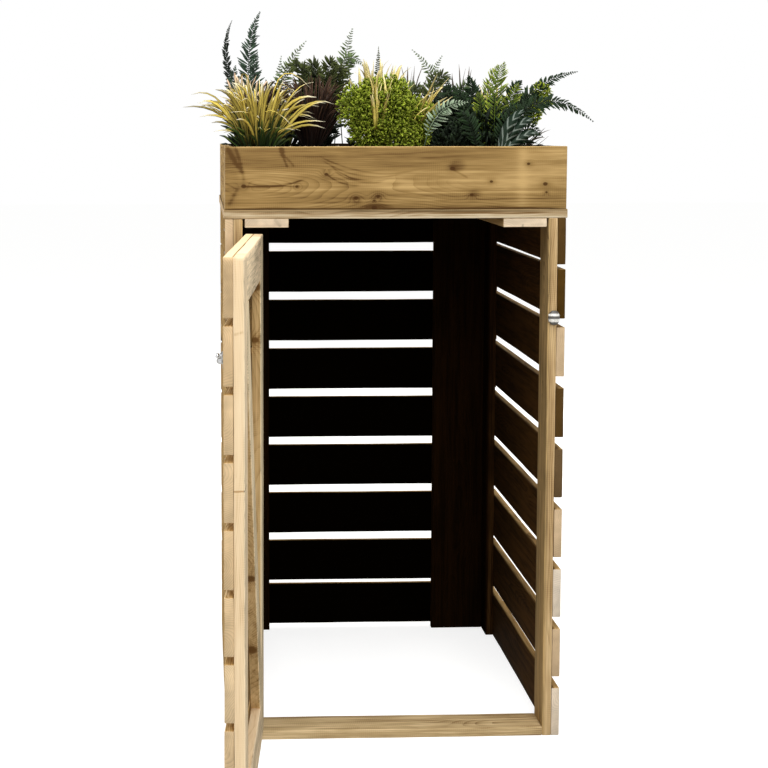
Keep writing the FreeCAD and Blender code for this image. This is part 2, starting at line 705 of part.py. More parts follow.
# Plants. Every leaf is a thin closed strip that follows one curve, from its foot in the soil towards
# a knee and over to its tip. Grass blades taper; fern fronds swell and taper.
SOIL_TOP = (ROOF_TOP + SOIL_DEPTH).value
STRIP_STEPS = 8
BLADE_WIDTH = 9
BLADE_TAPER = 0.85
FROND_BARE = 0.12
FROND_SWELL = 0.7
STALK_WIDTH = 4
LEAF_THICKNESS = 2
FROND_FACING = FreeCAD.Vector(0, -0.8, 0.6)
UP = FreeCAD.Vector(0, 0, 1)


def strip(foot, knee, tip, widths, facing):
    """A leaf: rectangles that face one way, carried along the quadratic curve from foot to tip that
    the knee draws out, and joined in turn. The first one lies level on the soil."""
    sections = []
    last = len(widths) - 1
    for step, width in enumerate(widths):
        share = step / last
        point = foot * (1 - share) ** 2 + knee * (2 * share * (1 - share)) + tip * share**2
        ahead = (knee - foot) * (1 - share) + (tip - knee) * share
        wide = ahead.cross(facing).normalize() * (width / 2)
        thick = wide.cross(ahead).normalize() * (LEAF_THICKNESS / 2)
        if step == 0:
            wide.z = thick.z = 0
        ring = [point + wide + thick, point - wide + thick]
        ring += [point - wide - thick, point + wide - thick]
        sections.append(Part.makePolygon(ring + ring[:1]))
    return Part.makeLoft(sections, True, True)


def at(x, y):
    """A foot on the soil at x, y."""
    return FreeCAD.Vector(x, y, SOIL_TOP)


def grass(middle, blades, ring, reaches, heights, knee_share):
    """A tuft at the golden angle. Reaches and heights run from the first blade in the middle to the
    last one outside, and the knees stand at a share of the height."""
    widths = [BLADE_WIDTH * (1 - BLADE_TAPER * (step / STRIP_STEPS) ** 2)
              for step in range(STRIP_STEPS + 1)]
    leaves = []
    for index in range(blades):
        share = (index + 0.5) / blades
        azimuth = math.radians(GOLDEN_ANGLE * index)
        out = FreeCAD.Vector(math.cos(azimuth), math.sin(azimuth), 0)
        foot = middle + out * (ring * math.sqrt(share))
        reach = reaches[0] + (reaches[1] - reaches[0]) * share
        height = heights[0] + (heights[1] - heights[0]) * share
        tip = foot + out * reach + UP * height
        knee = foot + out * (reach / 3) + UP * (height * knee_share)
        leaves.append(strip(foot, knee, tip, widths, UP - out))
    return leaves


def frond(foot, knee, tip, reach):
    """A fern frond whose leaflets reach this far each side at its widest."""
    widths = []
    for step in range(STRIP_STEPS + 1):
        grown = max(0, step / STRIP_STEPS - FROND_BARE) / (1 - FROND_BARE)
        widths.append(max(STALK_WIDTH, 2 * reach * math.sin(math.pi * grown**FROND_SWELL)))
    return strip(at(*foot), FreeCAD.Vector(*knee), FreeCAD.Vector(*tip), widths, FROND_FACING)


def planted(name, leaves):
    """Leaves of one kind of plant, kept as one group."""
    feature = doc.addObject("Part::Feature", name)
    feature.Shape = Part.makeCompound(leaves)
    keep_node(feature, name)


# Each frond's foot, knee, tip and reach.
TALL_FRONDS = (
    ((-290, 640), (-440, 640, 1665), (-379, 640, 1789), 12),
    ((-305, 620), (-368, 620, 1680), (-303, 620, 1811), 28),
    ((-285, 590), (-345, 580, 1600), (-312, 570, 1700), 28),
    ((-325, 560), (-395, 550, 1580), (-372, 540, 1662), 26),
    ((-245, 520), (-288, 520, 1620), (-183, 520, 1727), 28),
    ((-225, 690), (-262, 690, 1580), (-242, 690, 1695), 20),
    ((-105, 560), (-95, 560, 1640), (-56, 560, 1762), 32),
    ((-85, 500), (-120, 500, 1760), (-30, 480, 1655), 30),
    ((-150, 520), (-190, 520, 1720), (-165, 470, 1600), 28),
    ((200, 620), (225, 620, 1610), (112, 620, 1709), 26),
    ((165, 660), (140, 660, 1600), (202, 660, 1694), 22),
    ((190, 540), (215, 540, 1640), (262, 500, 1600), 30),
    ((150, 560), (105, 540, 1650), (60, 500, 1610), 26),
    ((20, 600), (16, 600, 1600), (19, 600, 1716), 14),
)
SPREADING_FRONDS = (
    ((-165, 420), (-190, 420, 1800), (-262, 400, 1600), 24),
    ((-145, 440), (-150, 440, 1790), (-205, 420, 1640), 26),
    ((-125, 420), (-120, 420, 1780), (-70, 400, 1600), 24),
    ((-140, 400), (-140, 400, 1740), (-115, 380, 1640), 26),
    ((60, 460), (80, 460, 1640), (130, 440, 1590), 26),
    ((110, 420), (140, 420, 1680), (190, 400, 1620), 28),
    ((118, 110), (112, 95, 1575), (185, 85, 1568), 28),
    ((104, 112), (84, 80, 1590), (70, 70, 1462), 26),
    ((268, 200), (322, 198, 1610), (478, 200, 1634), 24),
    ((255, 110), (350, 105, 1680), (496, 100, 1504), 26),
    ((250, 70), (275, 66, 1530), (330, 62, 1540), 28),
    ((205, 72), (195, 68, 1510), (162, 64, 1535), 26),
    ((225, 195), (200, 192, 1550), (162, 190, 1600), 28),
    ((240, 235), (228, 232, 1580), (206, 230, 1625), 28),
    ((292, 235), (306, 235, 1590), (342, 232, 1612), 28),
    ((300, 262), (335, 260, 1560), (402, 262, 1582), 30),
    ((205, 292), (180, 290, 1540), (158, 300, 1622), 34),
    ((300, 135), (330, 132, 1530), (376, 130, 1472), 26),
    ((262, 145), (250, 142, 1600), (282, 138, 1655), 30),
    ((236, 168), (232, 165, 1540), (220, 160, 1582), 24),
    ((285, 168), (296, 165, 1560), (320, 160, 1604), 24),
    ((262, 332), (262, 330, 1590), (300, 328, 1655), 30),
    ((310, 305), (350, 305, 1570), (400, 305, 1590), 24),
    ((340, 382), (390, 380, 1540), (432, 380, 1570), 24),
)
planted("tall_ferns", [frond(*row) for row in TALL_FRONDS])
planted("spreading_ferns", [frond(*row) for row in SPREADING_FRONDS])
striped = grass(at(-325, 125), 40, 34, (20, 150), (185, 60), 1.05)
yellow = grass(at(10, 290), 16, 22, (20, 60), (225, 170), 0.9)
planted("striped_grass", striped + yellow)
planted("dark_grass", grass(at(-185, 290), 30, 36, (10, 90), (195, 130), 0.7))

# A round bush: balls of leaves run into one, cut off at the soil. Each has its middle and radius.
BUSH_BALLS = (
    ((-72, 160, 1545), 56),
    ((-10, 150, 1545), 62),
    ((52, 160, 1522), 50),
    ((-35, 165, 1570), 44),
    ((8, 170, 1580), 40),
    ((-50, 150, 1486), 50),
    ((15, 140, 1482), 50),
    ((62, 150, 1474), 38),
    ((85, 160, 1530), 24),
)
balls = [Part.makeSphere(radius, FreeCAD.Vector(*middle)) for middle, radius in BUSH_BALLS]
ball_solid = balls[0].multiFuse(balls[1:])
reach_box = ball_solid.BoundBox
under_soil = Part.makeBox(
    reach_box.XLength, reach_box.YLength, SOIL_TOP,
    FreeCAD.Vector(reach_box.XMin, reach_box.YMin, 0),
)
bush = doc.addObject("Part::Feature", "round_bush")
bush.Shape = ball_solid.cut(under_soil)
keep_node(bush, "round_bush")

doc.recompute()
for thing in doc.Objects:
    if "Invalid" in thing.State or "Error" in thing.State:
        raise RuntimeError(f"{thing.Name} is {thing.State}")
for node in nodes:
    if node.Shape.isNull() or not node.Shape.isValid() or not node.Shape.Solids:
        raise RuntimeError(f"{node.Label} has no valid solid")

os.makedirs("parts", exist_ok=True)
for node in nodes:
    node.Shape.exportStep(os.path.join("parts", f"{node.Label}.step"))
print(len(nodes), "sub-parts written")
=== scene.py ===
import json
import math

import bpy
import numpy as np
from mathutils import Matrix, Vector


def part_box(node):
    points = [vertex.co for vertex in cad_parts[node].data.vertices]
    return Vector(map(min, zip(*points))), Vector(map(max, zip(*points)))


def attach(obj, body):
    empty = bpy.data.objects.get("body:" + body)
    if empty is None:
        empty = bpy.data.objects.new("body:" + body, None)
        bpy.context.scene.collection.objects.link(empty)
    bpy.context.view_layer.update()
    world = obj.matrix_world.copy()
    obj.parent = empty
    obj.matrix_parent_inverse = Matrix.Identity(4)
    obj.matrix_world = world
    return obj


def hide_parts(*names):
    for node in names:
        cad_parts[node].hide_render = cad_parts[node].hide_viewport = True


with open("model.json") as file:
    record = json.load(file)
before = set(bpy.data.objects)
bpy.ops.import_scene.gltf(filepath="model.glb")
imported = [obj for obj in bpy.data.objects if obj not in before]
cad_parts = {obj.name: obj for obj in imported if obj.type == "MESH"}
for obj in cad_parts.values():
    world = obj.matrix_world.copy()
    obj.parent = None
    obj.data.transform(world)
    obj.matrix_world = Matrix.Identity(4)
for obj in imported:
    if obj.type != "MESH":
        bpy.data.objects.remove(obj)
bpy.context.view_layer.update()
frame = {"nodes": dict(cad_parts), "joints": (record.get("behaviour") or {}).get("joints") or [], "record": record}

# Camera. It stands four metres in front of the store and a little to its left, at eye height, and
# looks down and right by a few degrees. Lens shift takes up the rest, so the boards stay upright.
CAMERA_PLACE = (-0.466, -3.998, 1.489)
CAMERA_TURN, CAMERA_DIP, CAMERA_ROLL = 2.17, 5.11, -0.075
LENS_MM = 78.7
LENS_SHIFT = (0.155, -0.135)
camera = bpy.data.objects.new("camera", bpy.data.cameras.new("camera"))
bpy.context.scene.collection.objects.link(camera)
camera.data.lens = LENS_MM
camera.data.shift_x, camera.data.shift_y = LENS_SHIFT
turned = Matrix.Rotation(-math.radians(CAMERA_TURN), 4, "Z")
dipped = Matrix.Rotation(math.radians(90 - CAMERA_DIP), 4, "X")
rolled = Matrix.Rotation(math.radians(CAMERA_ROLL), 4, "Z")
camera.matrix_world = Matrix.Translation(CAMERA_PLACE) @ turned @ dipped @ rolled
bpy.context.scene.camera = camera

# Studio. Even daylight from all round, with broad soft lamps in front, above, behind and at both
# sides. Rays from the camera and mirrors see a white background, and the floor keeps the shadow.


def arithmetic(operation):
    """What an arithmetic sign between Shades and numbers does."""
    return lambda first, second: first.maths(operation, second)


class Shade:
    """A value in a shader. Arithmetic on it adds Math nodes, and add() makes any other node."""

    def __init__(self, tree, socket=None):
        self.tree = tree
        self.socket = socket

    def add(self, kind, sockets=(), settings=(), output=0):
        """A new shader node with these inputs and settings, as one of its outputs."""
        node = self.tree.nodes.new(f"ShaderNode{kind}")
        for key, value in dict(settings).items():
            setattr(node, key, value)
        for key, value in dict(sockets).items():
            if isinstance(value, Shade):
                self.tree.links.new(value.socket, node.inputs[key])
            else:
                node.inputs[key].default_value = value
        return Shade(self.tree, node.outputs[output] if len(node.outputs) else None)

    def maths(self, operation, *others):
        """A Math node's result for this value and the others."""
        return self.add("Math", enumerate((self, *others)), {"operation": operation})

    __add__ = __radd__ = arithmetic("ADD")
    __mul__ = __rmul__ = arithmetic("MULTIPLY")
    __sub__ = arithmetic("SUBTRACT")
    __truediv__ = arithmetic("DIVIDE")
    __pow__ = arithmetic("POWER")

    def __rsub__(self, other):
        return self * -1 + other

    def rise(self, low, high):
        """0 below low, 1 above high, and a smooth step between."""
        sockets = {"Value": self, "From Min": low, "From Max": high}
        return self.add("MapRange", sockets, {"interpolation_type": "SMOOTHSTEP"})

    def hill(self, width):
        """The bell exp(-(value / width)^2)."""
        scaled = self / width
        return (scaled * scaled * -1).maths("EXPONENT")

    def blend(self, first, second):
        """The first colour where this is 0, the second where it is 1. A colour that isn't in the
        shader yet is given as srgb() takes it."""
        first, second = (part if isinstance(part, Shade) else srgb(*part) for part in (first, second))
        return self.add("Mix", {0: self, 6: first, 7: second}, {"data_type": "RGBA"}, output=2)

    def vector_maths(self, operation, sockets=(), output=0):
        """A Vector Math node's result for this vector."""
        return self.add("VectorMath", {0: self, **dict(sockets)}, {"operation": operation}, output)

    def stretched(self, along, across, through):
        """This vector with each part scaled on its own."""
        return self.vector_maths("MULTIPLY", {1: (along, across, through)})

    def scaled(self, factor):
        """This vector or colour times one factor."""
        return self.vector_maths("SCALE", {"Scale": factor})

    def noise(self, scale, detail):
        """Cloudy noise from 0 to 1 at this vector."""
        return self.add("TexNoise", {"Vector": self, "Scale": scale, "Detail": detail})

    def split(self):
        """The three parts of this vector."""
        first = self.add("SeparateXYZ", {0: self})
        return [Shade(self.tree, socket) for socket in first.socket.node.outputs]

    def place(self):
        """Where the shaded point is, in the piece's own metres."""
        return self.add("TexCoord", output=3)

    def mark(self, name):
        """The three parts of a mark that each point of the mesh carries."""
        settings = {"attribute_type": "GEOMETRY", "attribute_name": name}
        return self.add("Attribute", settings=settings, output=1).split()


def srgb(red, green, blue):
    """A colour as it looks on screen, from 0 to 255, as the linear one that a shader takes."""
    parts = np.array([red, green, blue]) / 255
    linear = np.where(parts > 0.04045, ((parts + 0.055) / 1.055) ** 2.4, parts / 12.92)
    return (*linear.tolist(), 1.0)


def blank_material(name):
    """A material without nodes, and the Shade that starts its tree."""
    material = bpy.data.materials.new(name)
    material.use_nodes = True
    material.node_tree.nodes.clear()
    return material, Shade(material.node_tree)


def surfaced(start, colour, roughness, **others):
    """Ends a material in a Principled surface. The other sockets have _ for the spaces."""
    sockets = {"Base Color": colour, "Roughness": roughness}
    sockets.update((key.replace("_", " "), value) for key, value in others.items())
    surface = start.add("BsdfPrincipled", sockets)
    start.add("OutputMaterial", {"Surface": surface})


def seen_directly(start):
    """1 for rays from the camera, mirrors and glass, and 0 for those that only bring light."""
    paths = start.add("LightPath").socket.node.outputs
    camera_ray, mirror_ray, glass_ray = (
        Shade(start.tree, paths[f"Is {kind} Ray"]) for kind in ("Camera", "Glossy", "Transmission"))
    return camera_ray.maths("MAXIMUM", mirror_ray).maths("MAXIMUM", glass_ray)


bpy.context.scene.view_settings.view_transform = "Standard"
DAYLIGHT = 0.42
WHITE = (1, 1, 1, 1)
world = bpy.data.worlds.new("studio")
world.use_nodes = True
world.node_tree.nodes.clear()
bpy.context.scene.world = world
sky = Shade(world.node_tree)
lit = sky.add("Background", {"Color": WHITE, "Strength": DAYLIGHT})
shown = sky.add("Background", {"Color": WHITE, "Strength": 1.0})
both = sky.add("MixShader", {0: seen_directly(sky), 1: lit, 2: shown})
sky.add("OutputWorld", {"Surface": both})

STORE_MIDDLE = Vector((0, 0.4, 0.9))
for lamp_name, place, size, power in (
    ("front_lamp", (0.6, -5.4, 3.4), 3.0, 165),
    ("top_lamp", (-0.2, -1.6, 4.8), 2.5, 120),
    ("left_lamp", (-4.8, 0.6, 2.8), 2.5, 110),
    ("right_lamp", (4.6, 2.0, 2.8), 2.5, 90),
    ("back_lamp", (1.0, 5.8, 3.2), 3.0, 150),
):
    lamp = bpy.data.objects.new(lamp_name, bpy.data.lights.new(lamp_name, "AREA"))
    bpy.context.scene.collection.objects.link(lamp)
    lamp.data.shape = "DISK"
    lamp.data.size = size
    lamp.data.energy = power
    turn = (Vector(place) - STORE_MIDDLE).to_track_quat("Z", "Y")
    lamp.matrix_world = Matrix.Translation(place) @ turn.to_matrix().to_4x4()

FLOOR_REACH = 30
FLOOR_COLOUR = (0.5, 0.5, 0.49, 1)
FLOOR_GLOW = 0.78
floor_mesh = bpy.data.meshes.new("floor")
floor_mesh.from_pydata([(FLOOR_REACH * across, FLOOR_REACH * deep, 0) for across, deep in
                        ((-1, -1), (1, -1), (1, 1), (-1, 1))], [], [(0, 1, 2, 3)])
floor = bpy.data.objects.new("floor", floor_mesh)
bpy.context.scene.collection.objects.link(floor)
floor_paint, start = blank_material("floor_paint")
matt = start.add("BsdfDiffuse", {"Color": FLOOR_COLOUR})
glow = start.add("Emission", {"Strength": seen_directly(start) * FLOOR_GLOW})
floor_look = start.add("AddShader", {0: matt, 1: glow})
start.add("OutputMaterial", {"Surface": floor_look})
floor_mesh.materials.append(floor_paint)

# Side walls. Nine rough-sawn, pressure-treated softwood slats a side, nailed through to the corner
# boards. Outside they are tan to olive brown. Inside, their faces are painted dark brown as shade,
# and they go nearly black towards the back.
ARRIS = 0.0016
RING_STEP = 0.045
CORNER_STEPS, FACE_STEPS = 3, 4
# How far a board strays from true, in metres: its edges and faces, and its section by cup and skew.
EDGE_WANDER, BOW, CUP, SKEW = 0.0005, 0.0004, 0.0004, 0.004
# The rings next to an end: how far in they are, in arrises, how full, and how much of the end's look.
END_PLACES = np.array([0, 0.3, 1])
END_FULLNESS = (0.3, 0.75)
END_MARKS = np.array([[1], [0.6]])
riding = {node: body for body, nodes in frame["record"]["behaviour"]["bodies"].items() for node in nodes}
SLOT_OF = {row["node"]: row["material_slot"] for row in frame["record"]["subparts"]}
door_hinge = next(joint for joint in frame["joints"] if joint["name"] == "door_hinge")
HINGE_PLACE = np.array(door_hinge["pos_m"])
DOOR_OPEN = math.radians(-door_hinge["range_deg"][0])


def swung(points, angle):
    """Points turned about the hinge pins, opening the door by this angle."""
    across, deep = (points - HINGE_PLACE)[..., 0], (points - HINGE_PLACE)[..., 1]
    turned_points = points.copy()
    turned_points[..., 0] = HINGE_PLACE[0] + across * math.cos(angle) + deep * math.sin(angle)
    turned_points[..., 1] = HINGE_PLACE[1] - across * math.sin(angle) + deep * math.cos(angle)
    return turned_points


# Nodes of several boards, each with the axis its boards run along and the one they follow each other on.
SEVERAL = {"back_slats": (0, 2), "roof_boards": (0, 1), "roof_bearers": (1, 0)}


def boards_in(node):
    """Lowest and highest corner of each board that a node holds, with the door shut. A node of
    several boards is split by the levels that the points on one end face stand at."""
    points = np.array([vertex.co for vertex in frame["nodes"][node].data.vertices])
    if riding[node] == "door":
        points = swung(points, -DOOR_OPEN)
    low, high = points.min(0), points.max(0)
    if node not in SEVERAL:
        return [(low, high)]
    length_axis, stack_axis = SEVERAL[node]
    at_end = points[:, length_axis] < low[length_axis] + 1e-4
    levels = np.unique(points[at_end, stack_axis].round(4))
    boards = []
    for bottom, top in zip(levels[0::2], levels[1::2]):
        first, last = low.copy(), high.copy()
        first[stack_axis], last[stack_axis] = bottom, top
        boards.append((first, last))
    return boards


def bar_profile(width, thickness, arris):
    """A board's section: for each point round it, the core point it stands on and the way it
    points from there. The section is core + arris * way, a rectangle with rounded corners."""
    cores, ways = [], []
    for corner, (across_sign, through_sign) in enumerate(((1, 1), (-1, 1), (-1, -1), (1, -1))):
        core = (across_sign * (width / 2 - arris), through_sign * (thickness / 2 - arris))
        for step in range(CORNER_STEPS + 1):
            angle = math.pi / 2 * (corner + step / CORNER_STEPS)
            cores.append(core)
            ways.append((math.cos(angle), math.sin(angle)))
        if corner in (0, 2):
            for step in range(1, FACE_STEPS):
                cores.append((core[0] * (1 - 2 * step / FACE_STEPS), core[1]))
                ways.append((0, through_sign))
    return np.array(cores), np.array(ways)


def tubes(count, rings, sides):
    """Faces of closed tubes whose points are numbered round each ring, ring by ring and tube by
    tube: the quads between the rings, and the two end faces of each tube."""
    index = np.arange(count * rings * sides).reshape(count, rings, sides)
    after = np.roll(index, -1, 2)
    quads = np.stack([index[:, :-1], after[:, :-1], after[:, 1:], index[:, 1:]], -1)
    return [quads.reshape(-1, 4), np.concatenate([index[:, 0, ::-1], index[:, -1]])]


def wander(places, length, chance):
    """A smooth random line: three sines of falling height and wavelength, about -1 to 1."""
    total = np.zeros_like(places)
    for share, height in ((1.3, 0.55), (3.1, 0.3), (7.7, 0.15)):
        total += height * np.sin(2 * math.pi * (share * places / length + chance.random()))
    return total


def board(low, high, inside, chance, tone, limits=None):
    """One sawn board between two corners. Its rounded section is carried along its length on rings
    that crowd at the ends, and each ring wanders by a few tenths of a millimetre. Gives points,
    faces and, for each point, its place along, across and through the board, its face values
    (end, worn arris, how far inwards) and its lot values (tone and chance)."""
    size = high - low
    order = np.argsort(-size, kind="stable")
    length, width, thickness = size[order]
    through = np.eye(3)[order[2]] * (1 if inside[order[2]] >= 0 else -1)
    along = np.eye(3)[order[0]]
    if np.cross(through, along).sum() < 0:
        along = -along
    across = np.cross(through, along)
    arris = ARRIS * chance.uniform(0.8, 1.5)
    cores, ways = bar_profile(width, thickness, arris)
    inner = np.arange(arris, length - arris, RING_STEP * chance.uniform(0.85, 1.1))[1:]
    places = np.concatenate([END_PLACES * arris, inner, length - END_PLACES[::-1] * arris])
    fullness = np.ones(len(places))
    fullness[:2], fullness[-2:] = END_FULLNESS, END_FULLNESS[::-1]
    ring = cores[None] + ways[None] * (arris * fullness)[:, None, None]
    upper, lower = (EDGE_WANDER * wander(places, length, chance)[:, None] for _ in range(2))
    share = ring[..., 0] / (width / 2)
    b = ring[..., 0] + np.where(ways[None, :, 0] > 0, upper, lower) * np.abs(share)
    bow = BOW * wander(places, length, chance)
    c = ring[..., 1] + bow[:, None] + chance.uniform(-CUP, CUP) * (share**2 - 0.5)
    a = np.repeat(places[:, None] - length / 2, len(cores), 1) + chance.uniform(-SKEW, SKEW) * b
    if limits is not None:
        lowest, highest = limits(places)
        b = (lowest + highest)[:, None] / 2 + b * ((highest - lowest) / width)[:, None]
    points = (low + high) / 2 + a[..., None] * along + b[..., None] * across + c[..., None] * through
    end = np.zeros(a.shape)
    end[:2], end[-2:] = END_MARKS, END_MARKS[::-1]
    worn = np.repeat((np.abs(ways[:, 0] * ways[:, 1]) * 2)[None], len(places), 0)
    lot = np.broadcast_to(np.array([tone, chance.uniform(0, 1), 0.0]), a.shape + (3,))
    marks = np.stack([a, b, c], -1), np.stack([end, worn, c / thickness + 0.5], -1), lot
    return points.reshape(-1, 3), tubes(1, *a.shape), [mark.reshape(-1, 3) for mark in marks]


def joined(parts):
    """Several lots of points, lists of faces and lists of marks as one lot."""
    starts = np.cumsum([0] + [len(points) for points, _, _ in parts])
    faces = [rows + first for first, (_, lists, _) in zip(starts, parts) for rows in lists]
    marks = [np.concatenate(rows) for rows in zip(*(part[2] for part in parts))]
    return np.concatenate([part[0] for part in parts]), faces, marks


def new_piece(name, points, faces, material, body, marks, slot, *nodes):
    """A mesh object that rides on a body and stands in for nodes, from points, lists of faces that
    have a row of corners each, and the marks that its points carry."""
    mesh = bpy.data.meshes.new(name)
    corners = np.concatenate([rows.ravel() for rows in faces])
    sizes = np.concatenate([np.full(len(rows), rows.shape[1]) for rows in faces])
    mesh.vertices.add(len(points))
    mesh.vertices.foreach_set("co", np.asarray(points, np.float32).ravel())
    mesh.loops.add(len(corners))
    mesh.loops.foreach_set("vertex_index", corners.astype(np.int32))
    mesh.polygons.add(len(sizes))
    mesh.polygons.foreach_set("loop_start", (np.cumsum(sizes) - sizes).astype(np.int32))
    mesh.update(calc_edges=True)
    for mark, values in marks.items():
        attribute = mesh.attributes.new(mark, "FLOAT_VECTOR", "POINT")
        attribute.data.foreach_set("vector", np.asarray(values, np.float32).ravel())
    mesh.materials.append(material)
    mesh.update()
    piece = bpy.data.objects.new(name, mesh)
    bpy.context.scene.collection.objects.link(piece)
    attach(piece, body)
    if nodes:
        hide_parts(*nodes)
    return piece


def sawn(node, material, inside, seed, tones=(0.5,), limits=None):
    """The boards of a node as sawn timber, in its place."""
    chance = np.random.default_rng(seed)
    points, faces, marks = joined([
        board(low, high, np.array(inside), chance, tones[number % len(tones)], limits)
        for number, (low, high) in enumerate(boards_in(node))])
    if riding[node] == "door":
        points = swung(points, DOOR_OPEN)
    marks = dict(zip(("grain", "face", "lot"), marks))
    new_piece(f"{node}_sawn", points, faces, material, riding[node], marks, SLOT_OF[node], node)


# Noises in the wood: how fast each changes along the board and across it, its scale and its detail.
NOISES = {
    "drift": (2.1, 7, 1.0, 2.0), "depth_drift": (1.7, 5, 1.3, 1.0), "fine_drift": (9, 26, 1.0, 2.0),
    "fibre": (14, 420, 1.0, 2.0), "streak": (3, 70, 1.0, 3.0), "wisp": (7, 190, 1.0, 3.0),
    "cloud": (2.2, 12, 1.0, 2.0), "blotch": (11, 34, 1.0, 2.0),
}
# How far apart in the wood two boards may be cut: along it, across it, and among the knots.
LOT_ALONG, LOT_ACROSS, LOT_KNOTS = 60, 40, 90
HEART_DEPTH, RING_PITCH, SAW_MARKS = 0.03, 0.0042, 1300
KNOT_CELLS_A_METRE, LEAST_KNOT, KNOT_SPREAD = 6, 0.0035, 0.0045
LINE_WOBBLE = 0.004
# Painted shade inside the store: inner faces darken between these two depths, going back, towards the darkest
# colour.
DEPTH_OF_PAINTED_SHADE, DARKEST_PAINTED_SHADE = (0.1, 0.8), (4, 2, 0)
WEATHERED_ENDS = ((78, 55, 21), (206, 179, 143), (226, 214, 196))


def near(where, middle, reach):
    """How far from a middle, as a share of the reach along each axis, both in millimetres."""
    moved = where.vector_maths("ADD", {1: tuple(-part / 1000 for part in middle)})
    return moved.stretched(*(1000 / part for part in reach)).vector_maths("LENGTH", output=1)


def drawn_line(x, z, first, last, bow, width, wobble):
    """A dark line on an upright board from first to last (x, z), in millimetres. It bows to its
    left by bow in the middle and fades out at the ends: the bell of the distance over the width."""
    run, climb = last[0] - first[0], last[1] - first[1]
    length = math.hypot(run, climb) / 1000
    along_x, along_z = run / 1000 / length, climb / 1000 / length
    x0, z0 = first[0] / 1000, first[1] / 1000
    share = x * (along_x / length) + (z * (along_z / length) - (x0 * along_x + z0 * along_z) / length)
    off = z * along_x - (x * along_z + (z0 * along_x - x0 * along_z))
    off = off - share * (1 - share) * (4 * bow / 1000) + wobble * LINE_WOBBLE
    return (off / (width / 1000)).hill(1) * share.rise(-0.04, 0.08) * (1 - share.rise(0.85, 1.05))


